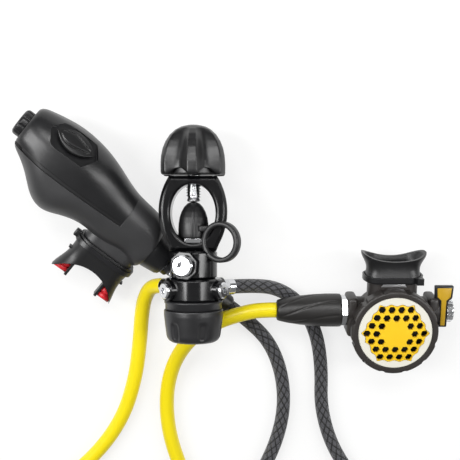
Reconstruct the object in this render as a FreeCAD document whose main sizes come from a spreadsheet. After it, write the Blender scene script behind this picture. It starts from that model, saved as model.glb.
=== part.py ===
import FreeCAD, Part
import math
import os
import re
import Sketcher
from FreeCAD import Placement, Rotation, Vector

# Scuba regulator set, lying flat: yoke first stage, primary second stage, octopus and their two hoses.
# Millimetres, +Z up, origin at the middle of the floor under the rigid pieces.

SIZES = {
    # layout on the table
    "set_shift_left": 34.1,
    "set_shift_up": 11.05,
    "stage_tilt": 12.0,
    "stage_axis_height": 54.4,
    "stage_foot_back": 79.2,
    "primary_yaw": 140.0,
    "primary_slope": 6.4,
    "primary_left": 34.3,
    "primary_back": 16.4,
    "primary_height": 17.25,
    "octopus_right": 152.0,
    "octopus_back": 77.0,
    "fit_gap": 0.3,
    # first stage, stacked from the end cap to the knob
    "cap_radius": 22.0,
    "cap_length": 24.0,
    "cap_edge": 6.0,
    "cap_flutes": 6.0,
    "cap_flute_width": 5.2,
    "cap_flute_length": 8.0,
    "sleeve_radius": 21.0,
    "sleeve_length": 7.0,
    "core_radius": 12.0,
    "turret_radius": 21.0,
    "turret_length": 16.0,
    "port_boss_radius": 7.6,
    "port_boss_reach": 24.0,
    "port_bore_radius": 4.6,
    "port_depth": 8.0,
    "plug_radius": 6.0,
    "plug_height": 2.6,
    "plug_socket": 2.4,
    "body_radius": 17.5,
    "body_length": 20.5,
    "pressure_boss_radius": 10.5,
    "pressure_boss_reach": 20.5,
    "pressure_plug_radius": 8.0,
    "pressure_plug_height": 4.5,
    "pressure_port_bore": 5.6,
    "inner_bore": 8.0,
    "yoke_length": 54.7,
    "yoke_half_width": 25.0,
    "yoke_base_half": 17.0,
    "yoke_top_half": 17.5,
    "yoke_depth": 23.0,
    "yoke_edge": 2.5,
    "window_half_width": 16.5,
    "window_length": 43.0,
    "yoke_foot_wall": 6.0,
    "retainer_radius": 11.5,
    "retainer_flange": 3.0,
    "nozzle_radius": 7.5,
    "nozzle_height": 2.5,
    "nozzle_bore": 4.5,
    "filter_height": 3.0,
    "dust_cap_radius": 11.0,
    "dust_cap_length": 27.0,
    "dust_cap_tip": 5.0,
    "strap_radius": 15.0,
    "strap_width": 7.0,
    "strap_wall": 2.2,
    "strap_lean": 28.0,
    "screw_radius": 5.4,
    "foot_radius": 5.0,
    "foot_height": 2.5,
    "knob_radius": 25.4,
    "knob_length": 37.2,
    "knob_skirt": 4.0,
    "knob_clearance": 0.8,
    "knob_hollow": 14.0,
    "knob_flutes": 6.0,
    "knob_flute_radius": 10.5,
    "knob_flute_depth": 4.6,
    "knob_flute_length": 29.0,
    # hose ends
    "hose_fitting_radius": 7.0,
    "hose_fitting_length": 10.0,
    "braided_hose_radius": 5.5,
    "plain_hose_radius": 5.9,
    # primary second stage, along its long axis from the neck to the far end
    "primary_length": 127.0,
    "primary_neck_radius": 16.5,
    "primary_wall": 3.0,
    "gasket_thickness": 3.0,
    "gasket_recess": 0.8,
    "purge_along": 93.0,
    "purge_lean": 42.0,
    "purge_length": 32.0,
    "purge_width": 17.0,
    "purge_rise": 2.9,
    "purge_height": 2.6,
    "purge_recess": 4.2,
    "purge_corner": 23.0,
    "cover_start": 31.0,
    "seam_offset": 5.0,
    "end_knob_radius": 10.5,
    "end_knob_length": 6.5,
    "end_knob_offset": 17.0,
    "neck_sleeve_length": 14.0,
    "neck_sleeve_radius": 14.5,
    "swivel_length": 8.0,
    "swivel_radius": 11.5,
    "inlet_nut_radius": 10.0,
    "inlet_nut_length": 12.0,
    "primary_protector_length": 45.0,
    "protector_root_radius": 9.5,
    "protector_tip_radius": 7.6,
    "mouth_along": 24.0,
    "mouth_tube_half": 22.0,
    "mouth_tube_rise": 11.0,
    "mouth_tube_end": 22.0,
    "mouthpiece_end": 57.0,
    "mouthpiece_half": 27.0,
    "mouthpiece_rise": 13.5,
    "mouthpiece_wall": 2.4,
    "tie_width": 4.0,
    "tie_wall": 1.4,
    "lip_hollow": 17.0,
    "bite_pad_width": 10.5,
    "bite_rib_radius": 2.6,
    "bite_rib_pitch": 4.6,
    "bite_ribs": 4.0,
    "bite_tab_wall": 2.0,
    "diaphragm_radius": 19.0,
    "diaphragm_wall": 1.0,
    "demand_lever_length": 20.0,
    "demand_lever_width": 5.0,
    "valve_tube_radius": 5.0,
    "venturi_shaft_radius": 4.0,
    # octopus second stage, cover up
    "case_radius": 30.5,
    "case_floor_radius": 18.0,
    "case_height": 36.0,
    "case_wall": 3.0,
    "ring_radius": 33.0,
    "ring_height": 9.5,
    "ring_lap": 1.2,
    "ring_notches": 12.0,
    "ring_notch_radius": 3.0,
    "trim_radius": 28.0,
    "trim_height": 3.0,
    "cover_reach": 3.0,
    "cover_crown": 3.4,
    "cover_wall": 2.2,
    "cover_edge": 3.9,
    "cover_notch": 2.6,
    "cover_hole_across": 5.0,
    "cover_hole_pitch": 7.2,
    "cross_tube_radius": 10.8,
    "cross_tube_half": 35.0,
    "cross_tube_offset": 11.7,
    "cross_tube_height": 24.0,
    "octopus_mouth_half": 19.0,
    "octopus_mouth_rise": 9.5,
    "octopus_mouth_end": 44.0,
    "octopus_piece_end": 59.0,
    "octopus_piece_half": 24.5,
    "octopus_piece_rise": 12.5,
    "octopus_nut_radius": 12.0,
    "octopus_nut_length": 4.0,
    "octopus_protector_length": 50.0,
    "octopus_protector_root": 12.9,
    "octopus_protector_tip": 7.7,
    "adjust_knob_radius": 9.0,
    "adjust_knob_length": 5.5,
    "venturi_lever_length": 23.0,
    "venturi_lever_width": 13.0,
    "venturi_lever_waist": 8.0,
    "venturi_lever_height": 6.0,
    "venturi_hub_radius": 8.0,
    "octopus_lip_hollow": 6.0,
    "exhaust_half": 20.0,
    "exhaust_depth": 12.0,
    "exhaust_height": 14.0,
}

doc = FreeCAD.newDocument("RegulatorSet")
sheet = doc.addObject("Spreadsheet::Sheet", "Sizes")
for row, (alias, number) in enumerate(SIZES.items(), start=1):
    sheet.set(f"A{row}", alias)
    sheet.set(f"B{row}", str(number))
    sheet.setAlias(f"B{row}", alias)
doc.recompute()

pieces = {}
cord_names = []


def size(alias):
    """A driving dimension, read back from the sheet."""
    return float(sheet.get(alias))


def formula(text):
    """An expression on the sheet, from words that are its aliases."""
    return re.sub(r"[a-z]\w+", lambda word: "Sizes." + word.group(0), text)


def keep(obj, label, frame):
    """Name a finished sub-part and put it in its place."""
    obj.Label = label
    obj.Placement = frame
    pieces[label] = obj
    return obj


def along(frame, x, y, z, direction=(0, 0, 1), turn=0.0):
    """A place inside a group's frame whose own Z axis points along the direction."""
    aim = Rotation(Vector(0, 0, 1), Vector(*direction))
    spin = Rotation(Vector(0, 0, 1), turn)
    return frame.multiply(Placement(Vector(x, y, z), aim.multiply(spin)))


def origin_feature(body, role):
    return next(item for item in body.Origin.OriginFeatures if item.Role == role)


def flat_sketch(body, name, role):
    sketch = body.newObject("Sketcher::SketchObject", name)
    sketch.AttachmentSupport = [(origin_feature(body, role), "")]
    sketch.MapMode = "FlatFace"
    return sketch


def bound_polygon(sketch, corners):
    """A closed outline whose corners are held at expressions on the sheet."""
    count = len(corners)
    rough = [
        Vector(30 + 20 * math.cos(math.tau * i / count), 30 + 20 * math.sin(math.tau * i / count), 0)
        for i in range(count)
    ]
    for i in range(count):
        sketch.addGeometry(Part.LineSegment(rough[i], rough[(i + 1) % count]), False)
    for i in range(count):
        sketch.addConstraint(Sketcher.Constraint("Coincident", i, 2, (i + 1) % count, 1))
    for i, (across, up) in enumerate(corners):
        for kind, text in (("DistanceX", across), ("DistanceY", up)):
            index = sketch.addConstraint(Sketcher.Constraint(kind, -1, 1, i, 1, 10.0))
            sketch.setExpression(f"Constraints[{index}]", formula(text))


def turned_body(label, profile):
    """A piece turned about its own Z axis; the profile is a list of (radius, height)."""
    body = doc.addObject("PartDesign::Body", label + "_body")
    sketch = flat_sketch(body, label + "_profile", "XZ_Plane")
    bound_polygon(sketch, profile)
    turn = body.newObject("PartDesign::Revolution", label + "_turn")
    turn.Profile = sketch
    turn.ReferenceAxis = (sketch, ["V_Axis"])
    turn.Angle = 360
    sketch.Visibility = False
    doc.recompute()
    return body


def turned(label, profile, frame):
    return keep(turned_body(label, profile), label, frame)


def round_pattern(body, tool, count, label):
    """Repeat a cut evenly round the body's Z axis."""
    pattern = body.newObject("PartDesign::PolarPattern", label + "_pattern")
    pattern.Originals = [tool]
    pattern.Axis = (origin_feature(body, "Z_Axis"), [""])
    pattern.Angle = 360
    pattern.Occurrences = int(count)
    body.Tip = pattern
    doc.recompute()


def solid(label, shape, frame):
    """A moulded or lofted piece whose shape is made from the sheet's values."""
    obj = doc.addObject("Part::Feature", label)
    if shape.ShapeType == "Compound" and len(shape.Solids) == 1:
        shape = shape.Solids[0]
    obj.Shape = shape
    return keep(obj, label, frame)


def cylinder(radius, height, base=(0, 0, 0), direction=(0, 0, 1)):
    return Part.makeCylinder(radius, height, Vector(*base), Vector(*direction))


def block(x0, x1, y0, y1, z0, z1):
    return Part.makeBox(x1 - x0, y1 - y0, z1 - z0, Vector(x0, y0, z0))


def prism(sides, radius, height, base=(0, 0, 0), direction=(0, 0, 1)):
    """A regular prism; the radius reaches its corners."""
    ring = [
        Vector(radius * math.cos(math.tau * i / sides), radius * math.sin(math.tau * i / sides), 0)
        for i in range(sides)
    ]
    face = Part.Face(Part.makePolygon(ring + ring[:1]))
    shape = face.extrude(Vector(0, 0, height))
    shape.Placement = Placement(Vector(*base), Rotation(Vector(0, 0, 1), Vector(*direction)))
    return shape


def rounded_ring(centre, across, up, half_across, half_up, corner):
    """A rounded rectangle of four lines and four quarter arcs about a centre."""
    across = Vector(*across)
    up = Vector(*up)
    centre = Vector(*centre)
    corner = min(corner, 0.98 * half_across, 0.98 * half_up)
    slant = corner * (1 - math.sqrt(0.5))

    def point(x, y):
        return centre + across * x + up * y

    edges = []
    for sx, sy in ((1, 1), (-1, 1), (-1, -1), (1, -1)):
        side = point(sx * half_across, sy * (half_up - corner))
        middle = point(sx * (half_across - slant), sy * (half_up - slant))
        top = point(sx * (half_across - corner), sy * half_up)
        first, last = (side, top) if sx * sy > 0 else (top, side)
        edges.append(Part.Arc(first, middle, last).toShape())
    wire_edges = []
    for i in range(4):
        wire_edges.append(edges[i])
        end = edges[i].Vertexes[-1].Point
        start = edges[(i + 1) % 4].Vertexes[0].Point
        wire_edges.append(Part.LineSegment(end, start).toShape())
    return Part.Wire(wire_edges)


# Group frames


def shifted(x, y, z, rotation):
    """A group's place on the table, measured from the first stage's axis."""
    return Placement(Vector(x - size("set_shift_left"), y + size("set_shift_up"), z), rotation)


def stage_frame():
    """First stage: own Z runs from the end cap to the knob, own -Y looks up."""
    tilt = Rotation(Vector(1, 0, 0), -90 - size("stage_tilt"))
    return shifted(0, -size("stage_foot_back"), size("stage_axis_height"), tilt)


def primary_frame():
    """Primary: own X runs from the neck to the far end, own Y towards the mouth."""
    lean = Rotation(size("primary_yaw"), -size("primary_slope"), 0)
    return shifted(-size("primary_left"), -size("primary_back"), size("primary_height"), lean)


def octopus_frame():
    """Octopus: own Z through the purge cover, own Y towards the mouth."""
    return shifted(size("octopus_right"), -size("octopus_back"), 0, Rotation())


STAGE = stage_frame()
PRIMARY = primary_frame()
OCTOPUS = octopus_frame()

SLEEVE_BASE = size("cap_length")
TURRET_BASE = SLEEVE_BASE + size("sleeve_length")
BODY_BASE = TURRET_BASE + size("turret_length")
YOKE_BASE = BODY_BASE + size("body_length")
YOKE_TOP = YOKE_BASE + size("yoke_length")
SEAT_HEIGHT = YOKE_BASE + size("yoke_foot_wall")
NOZZLE_TOP = SEAT_HEIGHT + size("retainer_flange") + size("nozzle_height")
FOOT_BASE = SEAT_HEIGHT + size("retainer_flange") + size("dust_cap_length")
TURRET_MIDDLE = TURRET_BASE + size("turret_length") / 2
PRESSURE_PORT_HEIGHT = BODY_BASE + size("body_length") / 2
RING_BASE = size("case_height") - size("ring_lap")

# Directions of the turret's four low-pressure ports, as angles seen from the end cap.
PLUG_PORTS = (143.0, 30.0)
PRIMARY_PORT = -32.0
OCTOPUS_PORT = 225.0
PRESSURE_PORT = 108.0


def clock(angle):
    """The direction of a port on the first stage; 90 degrees looks up."""
    radians = math.radians(angle)
    return Vector(math.cos(radians), -math.sin(radians), 0)


# First stage


def build_end_cap():
    profile = [
        ("0", "0"), ("cap_radius - cap_edge", "0"), ("cap_radius - cap_edge * 0.3", "cap_edge * 0.3"),
        ("cap_radius - cap_edge * 0.05", "cap_edge"), ("cap_radius", "cap_length * 0.6"),
        ("cap_radius", "cap_length - 2"), ("cap_radius - 2", "cap_length"), ("0", "cap_length"),
    ]
    body = turned_body("end_cap", profile)
    flute = body.newObject("PartDesign::SubtractiveEllipsoid", "cap_flute")
    flute.setExpression("Radius1", "Sizes.cap_flute_width")
    flute.setExpression("Radius2", "Sizes.cap_flute_width")
    flute.setExpression("Radius3", "Sizes.cap_flute_length")
    flute.Placement = Placement(
        Vector(0, -size("cap_radius") - size("cap_flute_width") * 0.45, size("cap_length") * 0.6), Rotation())
    doc.recompute()
    body.Tip = flute
    round_pattern(body, flute, size("cap_flutes"), "cap_flute")
    keep(body, "end_cap", STAGE)


def build_turret_sleeve():
    profile = [
        ("core_radius", "0"), ("sleeve_radius - 1", "0"), ("sleeve_radius", "1"),
        ("sleeve_radius", "sleeve_length - 1"), ("sleeve_radius - 1", "sleeve_length"),
        ("core_radius", "sleeve_length"),
    ]
    turned("turret_sleeve", profile, along(STAGE, 0, 0, SLEEVE_BASE))


def build_lp_turret():
    """A ring with a round boss and a blind threaded bore for each low-pressure hose."""
    ring = cylinder(size("turret_radius"), size("turret_length"), (0, 0, TURRET_BASE))
    ring = ring.makeChamfer(1.2, [edge for edge in ring.Edges if edge.Closed])
    for angle in PLUG_PORTS + (PRIMARY_PORT, OCTOPUS_PORT):
        boss = cylinder(size("port_boss_radius"), size("port_boss_reach"), (0, 0, TURRET_MIDDLE), clock(angle))
        ring = ring.fuse(boss)
    for angle in PLUG_PORTS + (PRIMARY_PORT, OCTOPUS_PORT):
        base = clock(angle) * (size("port_boss_reach") - size("port_depth")) + Vector(0, 0, TURRET_MIDDLE)
        ring = ring.cut(cylinder(size("port_bore_radius"), size("port_depth") * 2, base, clock(angle)))
    core = cylinder(size("core_radius"), size("turret_length") * 3, (0, 0, TURRET_BASE - size("turret_length")))
    solid("lp_turret", ring.cut(core).removeSplitter(), STAGE)


def socket_plug(head_radius, head_height, shank_radius, shank_length, socket):
    """A port plug with a domed head and a hexagon socket, its seat at height nought."""
    head = cylinder(head_radius, head_height)
    head = head.makeChamfer(head_height * 0.3, [head.Edges[0]])
    plug = head.fuse(cylinder(shank_radius, shank_length, (0, 0, -shank_length)))
    return plug.cut(prism(6, socket, head_height * 2, (0, 0, head_height * 0.15)))


def build_plugs():
    shank = size("port_bore_radius")
    plugs = []
    for angle in PLUG_PORTS:
        plug = socket_plug(size("plug_radius"), size("plug_height"), shank, size("port_depth") * 0.8,
                           size("plug_socket"))
        place = clock(angle) * size("port_boss_reach") + Vector(0, 0, TURRET_MIDDLE)
        plug.Placement = Placement(place, Rotation(Vector(0, 0, 1), clock(angle)))
        plugs.append(plug)
    solid("lp_port_plugs", Part.makeCompound(plugs), STAGE)
    plug = socket_plug(size("pressure_plug_radius"), size("pressure_plug_height"), size("pressure_port_bore"),
                       size("port_depth") * 0.8, size("plug_socket") * 1.4)
    place = clock(PRESSURE_PORT) * size("pressure_boss_reach") + Vector(0, 0, PRESSURE_PORT_HEIGHT)
    solid("high_pressure_plug", plug, along(STAGE, place.x, place.y, place.z, tuple(clock(PRESSURE_PORT))))


def build_first_stage_body():
    """The brass body: a core through the turret, a drum with the high-pressure port, a stepped bore."""
    core = cylinder(size("core_radius"), BODY_BASE - SLEEVE_BASE, (0, 0, SLEEVE_BASE))
    drum = cylinder(size("body_radius"), size("body_length"), (0, 0, BODY_BASE))
    drum = drum.makeChamfer(1.5, [edge for edge in drum.Edges if edge.Closed])
    boss = prism(8, size("pressure_boss_radius"), size("pressure_boss_reach"), (0, 0, PRESSURE_PORT_HEIGHT), clock(PRESSURE_PORT))
    body = core.fuse(drum).fuse(boss)
    port = clock(PRESSURE_PORT) * (size("pressure_boss_reach") - size("port_depth")) + Vector(0, 0, PRESSURE_PORT_HEIGHT)
    body = body.cut(cylinder(size("pressure_port_bore"), size("port_depth") * 2, port, clock(PRESSURE_PORT)))
    bore_base = SLEEVE_BASE + 4
    body = body.cut(cylinder(size("inner_bore"), PRESSURE_PORT_HEIGHT - 6 - bore_base, (0, 0, bore_base)))
    gas_way = cylinder(size("nozzle_bore"), size("body_length"), (0, 0, PRESSURE_PORT_HEIGHT - 7))
    solid("first_stage_body", body.cut(gas_way).removeSplitter(), STAGE)


def build_first_stage_inside():
    bore = size("inner_bore") - size("fit_gap")
    bottom = SLEEVE_BASE + 4
    turned("main_diaphragm", [
        ("0", "0"), ("inner_bore - fit_gap", "0"), ("inner_bore - fit_gap", "diaphragm_wall * 2"),
        ("0", "diaphragm_wall * 2"),
    ], along(STAGE, 0, 0, bottom))
    turned("valve_poppet", [
        ("0", "0"), ("screw_radius", "0"), ("screw_radius", "turret_length * 0.3"),
        ("valve_tube_radius * 0.3", "turret_length * 0.4"), ("valve_tube_radius * 0.3", "turret_length * 1.2"),
        ("0", "turret_length * 1.2"),
    ], along(STAGE, 0, 0, bottom + 2 * size("diaphragm_wall")))
    top = PRESSURE_PORT_HEIGHT - 6
    ring = cylinder(bore, 3, (0, 0, top - 3))
    solid("valve_seat", ring.cut(cylinder(bore * 0.4, 9, (0, 0, top - 6))), STAGE)


def yoke_outline():
    """The yoke seen from above, as a wire in the XZ plane: straight foot and top, bowed arms."""
    foot = size("yoke_base_half")
    top = size("yoke_top_half")
    wide = size("yoke_half_width")
    middle = YOKE_BASE + size("yoke_length") * 0.48
    foot_rise = YOKE_BASE + 5
    right = Part.Arc(Vector(foot + 2, 0, foot_rise), Vector(wide, 0, middle), Vector(top, 0, YOKE_TOP)).toShape()
    left = Part.Arc(Vector(-top, 0, YOKE_TOP), Vector(-wide, 0, middle), Vector(-foot - 2, 0, foot_rise)).toShape()
    edges = [
        Part.LineSegment(Vector(-foot, 0, YOKE_BASE), Vector(foot, 0, YOKE_BASE)).toShape(),
        Part.LineSegment(Vector(foot, 0, YOKE_BASE), Vector(foot + 2, 0, foot_rise)).toShape(),
        right,
        Part.LineSegment(Vector(top, 0, YOKE_TOP), Vector(-top, 0, YOKE_TOP)).toShape(),
        left,
        Part.LineSegment(Vector(-foot - 2, 0, foot_rise), Vector(-foot, 0, YOKE_BASE)).toShape(),
    ]
    return Part.Wire(edges)


def oval(y, middle, grow):
    """The window's outline at a depth, grown or shrunk all round."""
    curve = Part.Ellipse(Vector(0, y, middle + size("window_length") / 2 + grow),
                         Vector(size("window_half_width") + grow, y, middle), Vector(0, y, middle))
    return Part.Wire(curve.toShape())


def build_yoke():
    """A forged frame with one oval window, bored for the screw at the top and the retainer at the foot."""
    half_depth = size("yoke_depth") / 2
    frame = Part.Face(yoke_outline()).extrude(Vector(0, size("yoke_depth"), 0))
    frame.translate(Vector(0, -half_depth, 0))
    rims = [edge for edge in frame.Edges if abs(abs(edge.CenterOfMass.y) - half_depth) < 0.01]
    frame = frame.makeChamfer(size("yoke_edge"), rims)
    window_middle = SEAT_HEIGHT + size("window_length") / 2
    window = oval(-half_depth * 2, window_middle, 0)
    frame = frame.cut(Part.Face(window).extrude(Vector(0, half_depth * 4, 0)))
    for face, into in ((-half_depth, 1), (half_depth, -1)):
        rims = [oval(face - into * 0.5, window_middle, 2.1), oval(face + into * 1.8, window_middle, -0.2)]
        frame = frame.cut(Part.makeLoft(rims, True, True))
    screw_hole = cylinder(size("screw_radius") + size("fit_gap"), size("yoke_length"), (0, 0, SEAT_HEIGHT + 9))
    retainer_hole = cylinder(size("nozzle_radius") + size("fit_gap"), size("yoke_foot_wall") * 2,
                             (0, 0, YOKE_BASE - size("yoke_foot_wall") / 2))
    seat = cylinder(size("retainer_radius") + size("fit_gap"), size("yoke_foot_wall"), (0, 0, SEAT_HEIGHT))
    frame = frame.cut(screw_hole).cut(retainer_hole).cut(seat)
    solid("yoke", frame, STAGE)
    return frame


def build_inlet():
    """The hexagon retainer that holds the yoke on the body, with the inlet nozzle and its filter."""
    retainer = prism(6, size("retainer_radius"), size("retainer_flange"), (0, 0, SEAT_HEIGHT))
    nozzle = cylinder(size("nozzle_radius"), NOZZLE_TOP - YOKE_BASE, (0, 0, YOKE_BASE))
    bore = cylinder(size("nozzle_bore"), 3 * size("yoke_length"), (0, 0, YOKE_BASE - size("yoke_length")))
    solid("yoke_retainer", retainer.fuse(nozzle).cut(bore), STAGE)
    turned("inlet_filter", [
        ("0", "0"), ("nozzle_bore - fit_gap", "0"), ("nozzle_bore * 0.6", "filter_height"), ("0", "filter_height"),
    ], along(STAGE, 0, 0, NOZZLE_TOP - size("filter_height") - 1))


def build_dust_cap():
    """A bullet of rubber that covers the inlet, hollow where it goes over the nozzle, with a flat on one side."""
    radius = size("dust_cap_radius")
    length = size("dust_cap_length")
    tip = size("dust_cap_tip")
    profile = Part.Wire([
        Part.LineSegment(Vector(0, 0, 0), Vector(radius, 0, 0)).toShape(),
        Part.LineSegment(Vector(radius, 0, 0), Vector(radius, 0, length * 0.45)).toShape(),
        Part.Arc(Vector(radius, 0, length * 0.45), Vector(radius * 0.88, 0, length * 0.78),
                 Vector(tip, 0, length)).toShape(),
        Part.LineSegment(Vector(tip, 0, length), Vector(0, 0, length)).toShape(),
        Part.LineSegment(Vector(0, 0, length), Vector(0, 0, 0)).toShape(),
    ])
    cap = Part.Face(profile).revolve(Vector(0, 0, 0), Vector(0, 0, 1), 360)
    cap = cap.cut(cylinder(size("nozzle_radius") + size("fit_gap"), size("nozzle_height") + size("fit_gap"),
                           (0, 0, 0)))
    flat = block(-radius, radius, -2 * radius, -radius * 0.82, length * 0.1, length * 0.62)
    solid("dust_cap", cap.cut(flat), along(STAGE, 0, 0, SEAT_HEIGHT + size("retainer_flange")))


def build_dust_cap_strap(yoke):
    """A moulded rubber loop lying against the yoke's arm, from the side of the cap."""
    radius = size("strap_radius")
    width = size("strap_width")
    lean = math.radians(size("strap_lean"))
    axis = Vector(-math.sin(lean), -math.cos(lean), 0)
    front = -size("yoke_depth") / 2 - width * 0.55
    middle = Vector(size("yoke_half_width") - size("strap_wall") * 2, front, SEAT_HEIGHT + radius * 0.05)
    base = middle - axis * (width / 2)
    ring = cylinder(radius, width, base, axis)
    ring = ring.makeChamfer(0.5, [edge for edge in ring.Edges if edge.Closed])
    ring = ring.cut(cylinder(radius - size("strap_wall"), 3 * width, base - axis * width, axis))
    gap = size("fit_gap")
    cap_way = cylinder(size("dust_cap_radius") + gap, size("yoke_length"), (0, 0, SEAT_HEIGHT))
    drum = cylinder(size("body_radius"), size("body_length"), (0, 0, BODY_BASE))
    solid("dust_cap_strap", largest(ring.cut(yoke).cut(cap_way).cut(drum)), STAGE)


# The screw runs from its foot on the dust cap to the top of the knob's bore.
SCREW_LENGTH = ("yoke_length - yoke_foot_wall - retainer_flange - dust_cap_length - foot_height"
                " + knob_clearance + knob_length * 0.8")


def build_yoke_screw():
    turned("yoke_screw", [
        ("0", "0"), ("screw_radius - 1", "0"), ("screw_radius", "1"),
        ("screw_radius", SCREW_LENGTH), ("0", SCREW_LENGTH),
    ], along(STAGE, 0, 0, FOOT_BASE + size("foot_height")))
    turned("screw_foot", [
        ("0", "0"), ("foot_radius - 0.8", "0"), ("foot_radius", "0.8"),
        ("foot_radius - 0.6", "foot_height"), ("0", "foot_height"),
    ], along(STAGE, 0, 0, FOOT_BASE))


# The knob's bore ends just above the screw.
KNOB_BORE_TOP = "knob_length * 0.8 + fit_gap / 3"


def build_yoke_knob():
    """The big domed hand knob: six broad lobes with deep scoops between them, hollow underneath."""
    profile = [
        ("screw_radius + fit_gap / 3", "knob_skirt"), ("knob_hollow", "knob_skirt"),
        ("knob_hollow", "0"), ("knob_radius - 2", "0"), ("knob_radius - 0.4", "1.6"),
        ("knob_radius", "knob_length * 0.3"), ("knob_radius - 0.6", "knob_length * 0.55"),
        ("knob_radius * 0.92", "knob_length * 0.72"), ("knob_radius * 0.8", "knob_length * 0.85"),
        ("knob_radius * 0.6", "knob_length * 0.94"), ("knob_radius * 0.35", "knob_length * 0.985"),
        ("0", "knob_length"), ("0", KNOB_BORE_TOP), ("screw_radius + fit_gap / 3", KNOB_BORE_TOP),
    ]
    body = turned_body("yoke_knob", profile)
    flute = body.newObject("PartDesign::SubtractiveEllipsoid", "knob_flute")
    flute.setExpression("Radius1", "Sizes.knob_flute_length")
    flute.setExpression("Radius2", "Sizes.knob_flute_radius")
    flute.setExpression("Radius3", "Sizes.knob_flute_radius")
    flute.Angle1 = -90
    flute.Angle2 = 90
    reach = size("knob_radius") + size("knob_flute_radius") - size("knob_flute_depth")
    turn = math.pi / size("knob_flutes")
    flute.Placement = Placement(Vector(reach * math.sin(turn), -reach * math.cos(turn), 0), Rotation())
    doc.recompute()
    body.Tip = flute
    round_pattern(body, flute, size("knob_flutes"), "knob_flute")
    keep(body, "yoke_knob", along(STAGE, 0, 0, YOKE_TOP + size("knob_clearance")))


def build_hose_fitting(label, angle):
    """The hose's swaged end and hexagon, screwed into its turret port."""
    length = size("hose_fitting_length")
    nut = prism(6, size("hose_fitting_radius"), length * 0.45)
    ferrule = cylinder(size("hose_fitting_radius") * 0.86, length * 0.55, (0, 0, length * 0.45))
    shank = cylinder(size("port_bore_radius"), size("port_depth") * 0.8, (0, 0, -size("port_depth") * 0.8))
    place = clock(angle) * size("port_boss_reach") + Vector(0, 0, TURRET_MIDDLE)
    fitting = nut.fuse(ferrule).fuse(shank)
    solid(label, fitting, along(STAGE, place.x, place.y, place.z, tuple(clock(angle))))


# Primary second stage

# Stations along the housing: share of the length, middle across, half width, half thickness.
PRIMARY_STATIONS = (
    (0.0, 0.0, 16.5, 16.5),
    (0.10, -3.8, 20.6, 18.0),
    (0.25, -4.6, 22.2, 20.0),
    (0.42, -8.4, 25.4, 23.0),
    (0.55, -8.8, 29.8, 25.0),
    (0.65, -7.6, 32.8, 25.5),
    (0.74, -9.1, 31.6, 25.0),
    (0.85, -13.9, 25.0, 23.2),
    (0.94, -16.6, 19.8, 19.5),
    (1.0, -17.5, 14.5, 13.5),
)
PURGE_STATION = PRIMARY_STATIONS[6]


def primary_form(inset):
    """The housing's outer form, or its cavity when inset by the wall."""
    length = size("primary_length")
    rings = []
    for share, middle, half_width, half_height in PRIMARY_STATIONS:
        if inset and share in (0.0, 1.0):
            continue
        scale = size("primary_neck_radius") / 16.5
        across = half_width * scale - inset
        up = half_height * scale - inset
        rings.append(rounded_ring((share * length, middle, 0), (0, 1, 0), (0, 0, 1), across, up,
                                  min(across, up) * 0.92))
    return Part.makeLoft(rings, True, False)


def purge_frame():
    """Where the purge button sits: on the cover's shoulder, its own Z out of the surface."""
    lean = math.radians(size("purge_lean"))
    outward = Vector(0, -math.sin(lean), math.cos(lean))
    share, middle, half_width, half_height = PURGE_STATION
    corner = size("purge_corner")
    centre = Vector(size("purge_along"), middle - half_width + corner, half_height - corner)
    sideways = outward.cross(Vector(1, 0, 0))
    aim = Rotation(Vector(1, 0, 0), sideways, outward, "ZXY")
    return centre + outward * (corner - size("purge_recess")), outward, aim


def purge_outline(length, width, height, lift):
    """A pointed oval of two arcs, as a prism."""
    left = Vector(-length / 2, 0, lift)
    right = Vector(length / 2, 0, lift)
    upper = Part.Arc(left, Vector(0, width / 2, lift), right).toShape()
    lower = Part.Arc(right, Vector(0, -width / 2, lift), left).toShape()
    return Part.Face(Part.Wire([upper, lower])).extrude(Vector(0, 0, height))


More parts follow.
